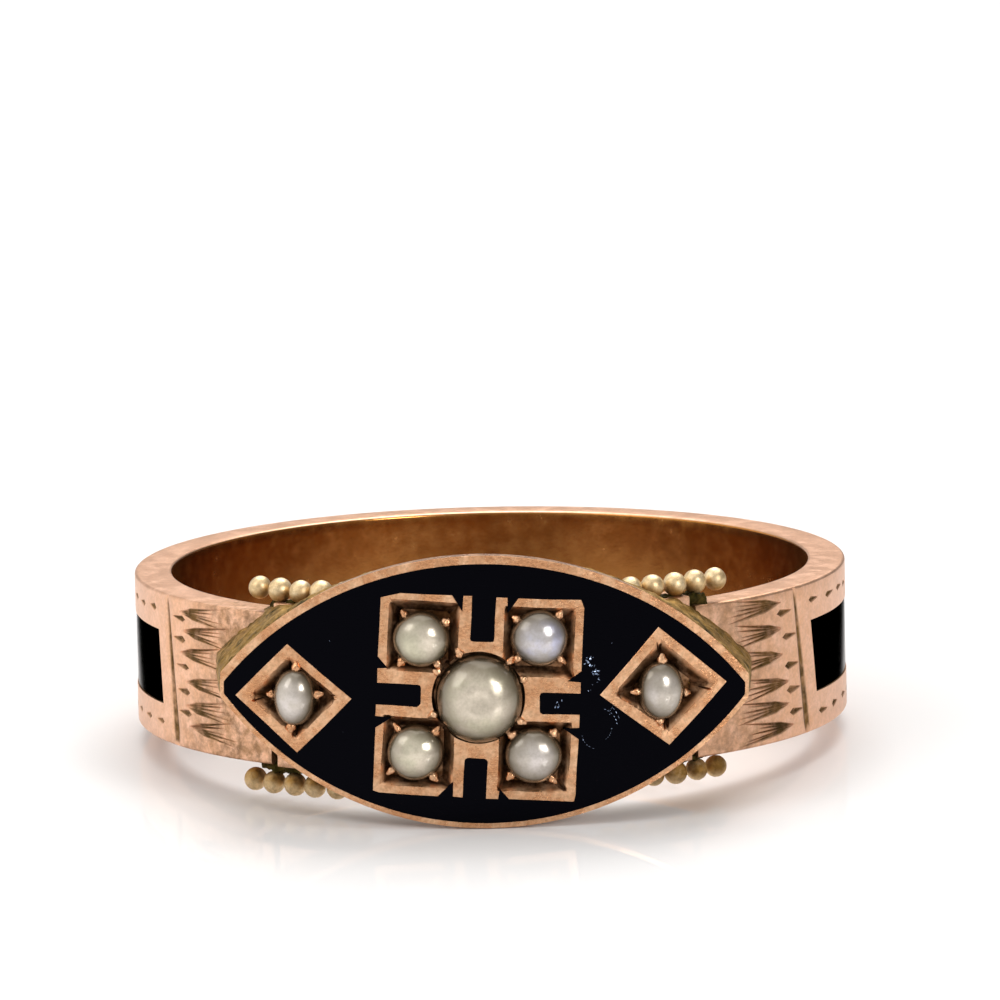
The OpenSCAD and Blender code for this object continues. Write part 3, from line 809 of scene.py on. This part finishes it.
# %% Give the inside of the band its own finish, a darker gold that paints the shade inside the ring
band.data.materials.append(inside_gold_painted_shade)
ring_frame = (REST @ Matrix.Scale(MM, 4)).inverted()
inside_faces = choose(band, lambda middle, way: (ring_frame @ middle).xy.length < FINGER_R + 0.02)
bpy.context.object.active_material_index = 1
bpy.ops.object.material_slot_assign()
put_down()
print(inside_faces, "faces inside the band")

# %% Fill the panels
PANEL_SUNK = 0.02
PANEL_LESS = 0.02
for side, word in ((LEFT, "left"), (RIGHT, "right")):
    # its edges are rounded, and it lies a little below the gold
    panel = panel_slab("side_panel_" + word, side, PANEL_SUNK, PANEL_T - 0.01, PANEL_LESS)
    change(panel, "BEVEL", width=0.03, segments=3)
    slice_across(panel, STEP)
    bend(panel, BAND_R)
    hand_over(panel, BAND_PLACE, side_black, "side_enamel_" + word)

# %% [markdown]
# ## The head
# The head is a pointed oval with blunt tips, bent more gently than the band. The oval is where three
# discs overlap: one for each long edge and one for the tips. It is made flat, like the band, so lengths
# seen from the front grow a little on it.

# %% The oval
def flat_x(x):
    """Length along the bent front of the head of a distance seen from the front."""
    return HEAD_BEND_R * asin(x / HEAD_BEND_R)


def disc(name, radius, z, low, high):
    """A disc that faces the front, between two depths."""
    return start(name, "cylinder", vertices=360, radius=radius, depth=high - low,
                 location=(0, (low + high) / 2, z), rotation=(pi / 2, 0, 0))


def oval(name, edge_r, arc_in, tip, low, high, top_less=0.0, low_less=0.0):
    """The pointed oval between two depths, with its upper and lower edges moved in."""
    shape = disc(name, edge_r - top_less, -arc_in, low, high)
    cut(shape, disc("lower edge", edge_r - low_less, arc_in, low - 1, high + 1), "INTERSECT")
    cut(shape, disc("tips", tip, 0, low - 1, high + 1), "INTERSECT")
    return shape


FLAT_A = flat_x(HEAD_A)
flat_point = flat_x(sqrt(HEAD_EDGE_R ** 2 - ARC_IN ** 2))
FLAT_EDGE_R = (flat_point ** 2 + HEAD_B ** 2) / (2 * HEAD_B)
FLAT_ARC_IN = FLAT_EDGE_R - HEAD_B
print("flat oval", round(2 * FLAT_A, 2), "mm long, its edges drawn with", round(FLAT_EDGE_R, 2))

# %% [markdown]
# ### The cluster plate
# In the middle stands a cross-shaped plate for five pearls, cut by eye, so no two sides are alike. Each
# has a slot between two arms and a notch beside each arm. The table holds a row for each side, seen
# with that side on top, and the outline is walked round from them.

# %% The cluster's outline
CLUSTER_SIZE = 5.28
CLUSTER_X = -0.16
CLUSTER_Z = -0.14
CLUSTER_TURN = radians(2.4)
SLOT_ROUND = 0.08
NOTCH_SLANT = 0.02
# turn, slot middle, slot width, slot length, right arm, left arm,
# right notch width and depth, left notch width and depth, next corner's cut along and down
CLUSTER_SIDES = [
    (0, 0.03, 0.61, 1.18, 0.3, 0.23, 0.28, 0.4, 0.3, 0.41, 0.5, 0.16),
    (90, -0.03, 0.57, 1.15, 0.37, 0.32, 0.3, 0.27, 0.29, 0.41, 0.04, 0.18),
    (180, -0.01, 0.61, 1.05, 0.25, 0.31, 0.39, 0.42, 0.27, 0.27, 0.05, 0.16),
    (270, 0.08, 0.57, 1.05, 0.34, 0.28, 0.3, 0.41, 0.3, 0.36, 0.2, 0.1)]


def cluster_outline():
    """The corners of the cluster's outline, anticlockwise, in its own square frame."""
    half = CLUSTER_SIZE / 2
    corners = []
    for (turn, middle, width, length, right_arm, left_arm, right_w, right_d, left_w, left_d,
         along, down) in CLUSTER_SIDES:
        right, left, foot = middle + width / 2, middle - width / 2, half - length
        side = [(right + right_arm + right_w, half), (right + right_arm + NOTCH_SLANT, half - right_d),
                (right + right_arm, half), (right, half), (right, foot + SLOT_ROUND),
                (right - SLOT_ROUND / 3, foot + SLOT_ROUND / 3), (right - SLOT_ROUND, foot),
                (left + SLOT_ROUND, foot), (left + SLOT_ROUND / 3, foot + SLOT_ROUND / 3),
                (left, foot + SLOT_ROUND), (left, half), (left - left_arm, half),
                (left - left_arm - NOTCH_SLANT, half - left_d), (left - left_arm - left_w, half),
                (along - half, half), (-half, half - down)]
        cosine, sine = cos(radians(turn)), sin(radians(turn))
        corners += [(x * cosine - z * sine, x * sine + z * cosine) for x, z in side]
    return corners


def on_cluster(x, z):
    """A place of the cluster's frame on the head."""
    cosine, sine = cos(CLUSTER_TURN), sin(CLUSTER_TURN)
    return CLUSTER_X + x * cosine + z * sine, CLUSTER_Z - x * sine + z * cosine


def by_eye(corners, sway):
    """An outline as a hand cuts it: each corner strays, and each longer side is a little bowed."""
    strayed = [(x + slip(sway), z + slip(sway)) for x, z in corners]
    outline = []
    for (x, z), (next_x, next_z) in zip(strayed, strayed[1:] + strayed[:1]):
        outline.append((x, z))
        length = hypot(next_x - x, next_z - z)
        if length > 0.6:
            bow = slip(sway) / length
            outline.append(((x + next_x) / 2 - bow * (next_z - z), (z + next_z) / 2 + bow * (next_x - x)))
    return outline


CLUSTER = [on_cluster(*corner) for corner in by_eye(cluster_outline(), 0.012)]
print("cluster outline:", len(CLUSTER), "corners")

# %% The lozenges' outlines
# right, top, left and bottom corner of each lozenge, round the head and along the finger
LOZENGES = {
    "left": ((-3.45, -0.22), (-5.14, 1.14), (-6.54, -0.24), (-4.9, -1.69)),
    "right": ((6.38, 0.13), (4.54, 1.65), (2.98, -0.11), (4.84, -1.45))}
LOZENGE_OUTLINES = {name: by_eye(corners, 0.02) for name, corners in LOZENGES.items()}
LOZENGE_BORDER = 0.24


def middle_of(corners):
    return sum(x for x, z in corners) / len(corners), sum(z for x, z in corners) / len(corners)


def drawn_in(corners, border):
    """A lozenge with a border taken off all round."""
    x, z = middle_of(corners)
    (right, _), (_, top), (left, _), (_, bottom) = corners
    share = 1 - border * 2 * hypot(right - left, top - bottom) / ((right - left) * (top - bottom))
    return [(x + share * (a - x), z + share * (b - z)) for a, b in corners]


def field(name, low, high, less=0.0):
    """The enamel's field between two depths: the oval inside the rim, less the cluster and lozenges."""
    shape = oval(name, FLAT_EDGE_R, FLAT_ARC_IN, FLAT_A - TIP_RIM_W - less, low, high,
                 RIM_W + less, LOW_RIM_W + less)
    for outline in [CLUSTER, *LOZENGE_OUTLINES.values()]:
        cut(shape, scribe("island", outline, low - 1, high + 1))
    return shape


print("lozenges:", ", ".join(LOZENGES))

# %% Saw the plate and sink its field
PLATE_CHAMFER = 0.006
plate = oval("head_plate", FLAT_EDGE_R, FLAT_ARC_IN, FLAT_A, 0, PLATE_T)
cut(plate, field("sink", -1, ENAMEL_T))
change(plate, "BEVEL", width=PLATE_CHAMFER, segments=1, limit_method="ANGLE",
       angle_limit=radians(50), use_clamp_overlap=False)
print(len(plate.data.polygons), "faces")

# %% [markdown]
# ### Seats for the pearls
# Each pearl sits in a sink with slanting walls, cut bright. A sink is a block whose far end is smaller.
# In each of its corners a V cut, deepest beside the pearl, makes the dark pit behind a grain.

# %% Cut the seats
CELL_MID = 1.51
CELL_TOP = 0.93
CELL_FLOOR = 0.66
RECESS_T = 0.22
LOZENGE_FLOOR = 0.62
SEAT_R = 1.22
# side, edge, shift to the right and up of the pearl in its cell
CORNER_PEARLS = {
    "upper_left": (LEFT, UP, -0.04, -0.06),
    "upper_right": (RIGHT, UP, 0.0, 0.1),
    "lower_left": (LEFT, DOWN, -0.06, -0.02),
    "lower_right": (RIGHT, DOWN, -0.02, 0.04)}
CORNERS = ((1, 1), (-1, 1), (-1, -1), (1, -1))


def sink(name, corners, floor_share):
    """A tool that cuts a sink with slanting walls; it starts above the face."""
    tool = scribe(name, by_eye(corners, 0.03), 0, RECESS_T)
    choose(tool, lambda middle, way: middle.y > RECESS_T * 0.99)
    bpy.ops.transform.resize(value=(floor_share, 1, floor_share))
    choose(tool, lambda middle, way: middle.y < RECESS_T * 0.01)
    bpy.ops.mesh.extrude_region_move(TRANSFORM_OT_translate={"value": (0, -1, 0)})
    put_down()
    return tool


def in_cell(side, edge, x, z):
    """A place in a corner pearl's cell, on the head."""
    return on_cluster(side * CELL_MID + x, edge * CELL_MID + z)


for name, (side, edge, *_) in CORNER_PEARLS.items():
    corners = [in_cell(side, edge, a * CELL_TOP, b * CELL_TOP) for a, b in CORNERS]
    cut(plate, sink(name, corners, CELL_FLOOR / CELL_TOP))
for name, corners in LOZENGES.items():
    cut(plate, sink(name, drawn_in(corners, LOZENGE_BORDER), LOZENGE_FLOOR))
centre_x, centre_z = on_cluster(0, 0)
seat = start("seat", "cone", vertices=64, radius1=SEAT_R + 0.04, radius2=SEAT_R - 0.06, depth=2 * RECESS_T,
             location=(centre_x, 0, centre_z), rotation=(-pi / 2, 0, 0))
cut(plate, seat)
print(len(plate.data.polygons), "faces with the seats")

# %% Drive the graver in at the corners
PIT_FROM = 0.52
PIT_WIDE = (0.6, 0.8)
PIT_DEEP = (0.36, 0.41)
# where a lozenge's pit begins on the way to its corner, as a share, and how wide and deep it is
SIDE_PIT = (0.38, 1.2, 0.42)
END_PIT = (0.45, 0.6, 0.4)
STROKE_SWAY = 0.14
STROKE_WIDE = 0.27
STROKE_DEEP = 0.3
for side, edge, *_ in CORNER_PEARLS.values():
    for a, b in CORNERS:
        far = CELL_TOP + hand.uniform(-0.02, 0.06)
        mark(*in_cell(side, edge, a * PIT_FROM, b * PIT_FROM), *in_cell(side, edge, a * far, b * far),
             hand.uniform(*PIT_WIDE), hand.uniform(*PIT_DEEP), 0)
for corners in LOZENGES.values():
    x, z = middle_of(corners)
    for place, (corner_x, corner_z) in enumerate(drawn_in(corners, LOZENGE_BORDER)):
        begin, wide, deep = END_PIT if place % 2 else SIDE_PIT
        long_x, long_z = corner_x - x, corner_z - z
        mark(x + begin * long_x, z + begin * long_z, corner_x, corner_z, wide, deep, 0)
        for turn in (1, 2):
            sway = slip(STROKE_SWAY)
            mark(x + 0.5 * long_x, z + 0.5 * long_z, corner_x - sway * long_z, corner_z + sway * long_x,
                 STROKE_WIDE, STROKE_DEEP, turn)
cut_marks(plate)
bpy.data.objects.remove(graver)

# %% Bend the plate
# the depth under the face paints the seats, sinks and pits darker: grime and painted shade
note_depth(plate, lambda place: max(place.y - 0.01, 0) if place.y < PLATE_T - 0.01 else 0)
slice_across(plate, 0.25)
bend(plate, HEAD_BEND_R)
hand_over(plate, HEAD_PLACE, head_gold, smooth=20)

# %% Fill the field
ENAMEL_TOP = 0.012
black_field = field("black_field", ENAMEL_TOP, ENAMEL_T - 0.005, 0.004)
slice_across(black_field, 0.25)
print(len(black_field.data.polygons), "faces")

# %% Chip the enamel beside the cluster
chip = start("chip", "ico_sphere", subdivisions=1, radius=1)
open_up(chip, "VERT", "SELECT")
bpy.ops.transform.vertex_random(offset=0.45, seed=3)
put_down()
chips = []
# middle round the head and along the finger, how far the chips stray, how many, largest size
for x, z, stray, count, largest in ((2.72, 0.78, 0.14, 9, 0.1), (2.86, 0.5, 0.1, 6, 0.09),
                                    (2.98, 0.3, 0.08, 4, 0.06), (1.95, -0.35, 0.12, 5, 0.09),
                                    (2.75, 0.1, 0.1, 3, 0.05), (3.2, -0.9, 0.3, 4, 0.03),
                                    (3.45, 1.2, 0.3, 2, 0.03), (-4.1, 1.35, 0.2, 2, 0.03)):
    for _ in range(count):
        size = largest * hand.uniform(0.35, 1)
        place = Matrix.Translation((x + slip(stray), ENAMEL_TOP - size * 0.1, z + slip(stray)))
        turn = Matrix.Rotation(hand.uniform(0, 6), 4, "Y") @ Matrix.Rotation(slip(0.4), 4, "X")
        chips.append(copy_of(chip, "chip", place @ turn @ Matrix.Diagonal((size, size * 0.4, size * 0.4, 1))))
# scratches in an arc: middle, radius, from and to an angle, width
for x, z, radius, begin, end, wide in ((2.95, -0.95, 0.5, 10, 75, 0.016), (2.9, -0.9, 0.62, 20, 50, 0.012),
                                       (3.0, -1.0, 0.3, -60, 10, 0.012), (3.5, -0.6, 0.25, 100, 190, 0.012),
                                       (2.95, -1.1, 0.42, 190, 260, 0.014)):
    for angle in range(begin, end, 12):
        way = radians(angle + slip(2))
        place = Matrix.Translation((x + radius * cos(way), ENAMEL_TOP, z + radius * sin(way)))
        turn = Matrix.Rotation(-way - pi / 2, 4, "Y")
        length = radius * radians(6) * hand.uniform(0.6, 1.1)
        chips.append(copy_of(chip, "scratch", place @ turn @ Matrix.Diagonal((length, wide, wide, 1))))
bpy.data.objects.remove(chip)
cut(black_field, join("chips", chips), crossing=True)
print(len(black_field.data.polygons), "faces with the chips")

# %% Bend the enamel
# the chips are marked for their pale colour and painted glint
note_depth(black_field, lambda place: 1 if ENAMEL_TOP + 0.009 < place.y < 0.1 else 0)
bend(black_field, HEAD_BEND_R)
hand_over(black_field, HEAD_PLACE, head_black, "head_enamel", smooth=8)

# %% [markdown]
# ## The pearls
# A seed pearl is sawn in half and set with its dome out, and no dome is quite round. A ball is squashed
# to its height, its lower half is cut off flat, and a noise moves its skin by a few hundredths of a
# millimetre, from another place for each pearl.

# %% Make a half pearl
SKIRT = 0.1
skin_noise = bpy.data.textures.new("pearl_skin", "CLOUDS")
skin_noise.noise_scale = 0.7


def on_bow(x, y, z):
    """A place on the bowed head, turned with it: a length along it, a depth and a height."""
    return (Matrix.Translation((0, HEAD_BEND_R, 0)) @ Matrix.Rotation(x / HEAD_BEND_R, 4, "Z")
            @ Matrix.Translation((0, y - HEAD_BEND_R, z)))


def half_pearl(name, x, z, wide, high, proud, turn, finish, dent=0.0):
    """A half pearl on the head, its widest place a little below the face."""
    dome = start("half_" + name, "uv_sphere", segments=64, ring_count=40, radius=1,
                 rotation=(pi / 2, 0, 0))
    open_up(dome, action="SELECT")
    bpy.ops.mesh.bisect(plane_co=(0, 0.15, 0), plane_no=(0, 1, 0), use_fill=True, clear_outer=True)
    put_down()
    tall = proud + SKIRT
    dome.data.transform(Matrix.Rotation(turn, 4, "Y") @ Matrix.Diagonal((wide / 2, tall, high / 2, 1)))
    skin_place = hand.uniform(0, 50)
    dome.data.transform(Matrix.Translation((skin_place, 0, skin_place)))
    change(dome, "DISPLACE", texture=skin_noise, strength=0.05, mid_level=0.5)
    dome.data.transform(Matrix.Translation((-skin_place, 0, -skin_place)))
    if dent:
        choose(dome, lambda place, way: hypot(place.x, place.z) < 0.09 and place.y < 0, "VERT")
        bpy.ops.transform.translate(value=(0, dent, 0), use_proportional_edit=True,
                                    proportional_edit_falloff="SMOOTH", proportional_size=0.32)
        put_down()
    # the depth from the dome's top drives the painted shade toward the rim and at the seat
    note_depth(dome, lambda place: min(max(place.y / tall + 1, 0), 1))
    hand_over(dome, HEAD_PLACE @ on_bow(x, SKIRT, z), finish, name)


half_pearl("pearl_centre", *on_cluster(0.03, -0.03), wide=2.27, high=2.34, proud=CENTRE_PROUD - 0.03,
           turn=CLUSTER_TURN, finish=cream_pearl, dent=0.06)
corner_finish = {"upper_left": cream_pearl, "upper_right": violet_pearl,
                 "lower_left": cream_pearl, "lower_right": grey_pearl}
for name, place in CORNER_PEARLS.items():
    half_pearl("pearl_" + name, *in_cell(*place), wide=1.5, high=1.48, proud=0.45, turn=CLUSTER_TURN,
               finish=corner_finish[name])
# width, height, middle round the head and along the finger
OVAL_PEARLS = {"left": (1.13, 1.52, -4.97, -0.24), "right": (1.21, 1.55, 4.61, -0.03)}
for name, (wide, high, x, z) in OVAL_PEARLS.items():
    half_pearl("pearl_" + name, x, z, wide, high, proud=0.4, turn=0.0, finish=grey_pearl)

# %% [markdown]
# ### Grains
# Small claws of gold lean on the edge of each pearl. They could be pushed up out of the plate's own mesh,
# but each differs a little. So one is made from a ball whose outer side is drawn to a tail, and copies
# are set round each pearl, the tail running outward.

# %% Place the grains
grain = start("grain", "ico_sphere", subdivisions=3, radius=0.12)
choose(grain, lambda place, way: place.x > 0.05, "VERT")
bpy.ops.transform.resize(value=(1.7, 0.85, 0.8), center_override=(0.05, 0, 0))
bpy.ops.mesh.select_all(action="SELECT")
bpy.ops.transform.vertex_random(offset=0.03, seed=5)
bpy.ops.mesh.vertices_smooth(factor=0.4, repeat=1)
put_down()
grains = []
CORNER_GRAINS = 0.78
CENTRE_GRAINS = 1.25


def grain_at(x, z, way):
    """A grain on the edge of a pearl, its tail running out along a direction."""
    turn = Matrix.Rotation(-way, 4, "Y") @ Matrix.Rotation(slip(0.5), 4, "X")
    size = Matrix.Diagonal((hand.uniform(0.8, 1.15), hand.uniform(0.8, 1.1), hand.uniform(0.75, 1.15), 1))
    grains.append(copy_of(grain, "grain", on_bow(x, 0.01, z) @ turn @ size))


for side, edge, shift_x, shift_z in CORNER_PEARLS.values():
    for way in (45, 135, 225, 315):
        way = radians(way + slip(9))
        grain_at(*in_cell(side, edge, shift_x + CORNER_GRAINS * cos(way),
                          shift_z + CORNER_GRAINS * sin(way)), way)
for way in (25, 52, 116, 150, 204, 333):
    way = radians(way)
    grain_at(*on_cluster(CENTRE_GRAINS * cos(way), CENTRE_GRAINS * sin(way)), way)
for wide, high, x, z in OVAL_PEARLS.values():
    for way in (0, 90, 180, 270):
        way = radians(way + slip(8))
        grain_at(x + (wide / 2 + 0.05) * cos(way), z + (high / 2 + 0.03) * sin(way), way)
bpy.data.objects.remove(grain)
all_grains = join("grains", grains)
hand_over(all_grains, HEAD_PLACE, head_gold)

# %% [markdown]
# ## The collet
# Behind the plate a wall joins it to the band. It widens toward the shoulders, and above and below it
# slants in under the plate to the base. It is the oval's outline run back and spread, kept inside a drum
# whose rim has the slant, and hollowed for the finger. Solder and old dirt make its skin uneven, so it
# is remeshed finely and moved by noise.

# %% Make the collet
COLLET_STEP = 0.06
COLLET_FLARE = 0.27
COLLET_DEPTH = 4.7
UNDER_DEPTH = 0.6
collet = oval("collet", HEAD_EDGE_R - COLLET_STEP, ARC_IN, HEAD_A - COLLET_STEP, 0, COLLET_DEPTH)
choose(collet, lambda middle, way: middle.y > COLLET_DEPTH * 0.99)
bpy.ops.transform.resize(value=(1 + COLLET_FLARE / HEAD_A, 1, 1 + COLLET_FLARE / HEAD_B))
put_down()
collet.data.transform(HEAD_PLACE)

drum_r = HEAD_BEND_R - PLATE_T + 0.03
drum = start("drum", "cylinder", vertices=720, radius=drum_r, depth=HEAD_H + 0.02,
             location=(HEAD_X, FRONT_Y + HEAD_BEND_R, HEAD_Z))
for edge, base_z in ((UP, BASE_W / 2 - 0.02), (DOWN, BASE_SHORT - BASE_W / 2 + 0.02)):
    choose(drum, lambda middle, way: way.z * edge > 0.9)
    bpy.ops.mesh.inset(thickness=UNDER_DEPTH)
    bpy.ops.transform.translate(value=(0, 0, base_z - HEAD_Z - edge * (HEAD_B + 0.01)))
cut(collet, drum, "INTERSECT")
cut(collet, start("finger", "cylinder", vertices=360, radius=FINGER_R + BAND_T / 2, depth=2 * HEAD_H))
print("collet", len(collet.data.polygons), "faces")

# %% Hand the collet over
roughen(collet, voxel=0.07, strength=0.1)
# one depth over the whole wall darkens all of it: dirt and painted shade
note_depth(collet, lambda place: 0.05)
hand_over(collet, Matrix.Identity(4), dull_gold_with_shade)

# %% [markdown]
# ## The beads
# Four rows of small beads edge the base, soldered to strips. They are melted from scraps of wire, so no
# two are alike: one ball is copied along each row, a little squashed and turned each time.

# %% Strips and beads
BEAD_D = 0.64
BEAD_COUNT = 6
BEAD_SINK = 0.06
STRIP_T = 0.6
STRIP_RISE = 0.05
STRIP_IN = 0.12
STRIP_SHORT = 0.3
BEAD_PITCH = 0.66 * BAND_R / (BAND_R - STRIP_T / 2)
# side, edge, distance in from the tip, shift up
BEAD_ROWS = [(LEFT, UP, 1.19, 0.0), (LEFT, DOWN, 0.84, 0.08), (RIGHT, UP, 0.79, 0.0),
             (RIGHT, DOWN, 0.86, 0.24)]
ball = start("ball", "uv_sphere", segments=28, ring_count=18, radius=BEAD_D / 2)
balls = []
strips = []
for side, edge, inset, shift in BEAD_ROWS:
    last = tip_arc(side) - inset
    z = edge * (BASE_W / 2 + STRIP_RISE + BEAD_D / 2 - BEAD_SINK) + shift
    for i in range(BEAD_COUNT):
        size = hand.uniform(0.93, 1.04)
        tilt = Matrix.Rotation(slip(1), 4, "X") @ Matrix.Rotation(slip(1), 4, "Y")
        squash = Matrix.Diagonal((size * hand.uniform(0.95, 1.02), size, size * hand.uniform(0.94, 1.02), 1))
        place = Matrix.Translation((side * (last - i * BEAD_PITCH) + slip(0.02),
                                    STRIP_T / 2 + slip(0.02),
                                    z + slip(0.015)))
        balls.append(copy_of(ball, "ball", place @ tilt @ squash))
    ends = sorted((side * (last - STRIP_SHORT), side * (last - (BEAD_COUNT - 0.5) * BEAD_PITCH)))
    outer = edge * (BASE_W / 2 + STRIP_RISE) + shift
    inner = edge * (BAND_W / 2 - 2 * BAND_EDGE)
    strip = block("strip", (ends[0], STRIP_IN, min(outer, inner)), (ends[1], STRIP_T, max(outer, inner)))
    change(strip, "BEVEL", width=0.2, segments=3)
    strips.append(strip)
bpy.data.objects.remove(ball)

# the beads are darker where they meet their strip
DARK_FROM = 2.72
DARK_OVER = 0.4
BEAD_DARKENING = 0.35
beads = join("beads", balls)
note_depth(beads, lambda place: max(0.0, min(1.0, (DARK_FROM - abs(place.z)) / DARK_OVER)) * BEAD_DARKENING)
bend(beads, BAND_R)
hand_over(beads, BAND_PLACE, bead_gold)

bead_strips = join("bead_strips", strips)
roughen(bead_strips, voxel=0.05, strength=0.35)
# one depth over the whole strip darkens all of it: solder, dirt and painted shadow
note_depth(bead_strips, lambda place: 0.06)
bend(bead_strips, BAND_R)
hand_over(bead_strips, BAND_PLACE, black_solder_and_shadow)

# %% [markdown]
# ## Table and light
# The real ring lies on a white, polished table before a white wall, so light comes from all round.
# A pale plane and a white world give that. Soft panels above and behind light the table, and smaller
# ones in front put the highlights on the pearls.

# %% Table
TABLE_SIZE = 3.0
bpy.ops.object.select_all(action="DESELECT")
bpy.ops.mesh.primitive_plane_add(size=TABLE_SIZE)
table = bpy.context.object
table.name = "table"
white_table, _, table_shader = new_finish("white_table")
feed(table_shader, {"Base Color": (0.84, 0.828, 0.822, 1), "Roughness": 0.015, "IOR": 1.18})
table.data.materials.append(white_table)
print("table", TABLE_SIZE, "m across")

# %% Room
FRONT_LIGHT = 0.62
SIDE_LIGHT = 1.0
BACK_LIGHT = 0.45
LEFT_GAIN = 1.35
RIGHT_DIM = 0.33
WALL_SEEN = 1.0
world = bpy.data.worlds.new("white_room")
world.use_nodes = True
bpy.context.scene.world = world
bpy.context.scene.view_settings.view_transform = "Standard"
bpy.context.scene.view_settings.look = "None"
room = world.node_tree
direction = node(room, "ShaderNodeTexCoord").outputs["Generated"]
way_out = node(room, "ShaderNodeSeparateXYZ", {0: direction}).outputs
from_front = ramp(way_out["Y"], -0.9, 0.1, FRONT_LIGHT, SIDE_LIGHT)
to_back = ramp(way_out["Y"], 0.45, 0.9, 1.0, BACK_LIGHT)
to_right = ramp(way_out["X"], -1.0, 1.0, LEFT_GAIN, RIGHT_DIM)
room_light = combine("MULTIPLY", combine("MULTIPLY", from_front, to_back), to_right)
in_view = node(room, "ShaderNodeLightPath").outputs["Is Camera Ray"]
strength = node(room, "ShaderNodeMix", {0: in_view, 2: room_light, 3: WALL_SEEN}, data_type="FLOAT")
feed(room.nodes["Background"], {"Color": (1, 0.99, 0.98, 1), "Strength": strength.outputs[0]})
print("room light", FRONT_LIGHT, "in front,", SIDE_LIGHT, "at the side and", BACK_LIGHT, "behind")

# %% Lights
def soft_panel(name, place, size, power):
    """A square of light that faces the ring."""
    bpy.ops.object.light_add(type="AREA", location=place)
    panel = bpy.context.object
    panel.name = name
    panel.data.shape = "SQUARE"
    panel.data.size = size
    panel.data.energy = power
    panel.rotation_mode = "QUATERNION"
    panel.rotation_quaternion = Vector(place).to_track_quat("Z", "Y")
    panel.visible_camera = False


soft_panel("panel_behind", (0.05, 0.3, 0.42), size=0.35, power=1.9)
soft_panel("panel_above", (0.05, 0.05, 0.5), size=0.4, power=0.5)
soft_panel("panel_upper_left", (-0.3, -0.18, 0.28), size=0.2, power=0.25)
soft_panel("window_right", (0.21, -0.3, 0.16), size=0.11, power=0.6)
print("four soft panels")
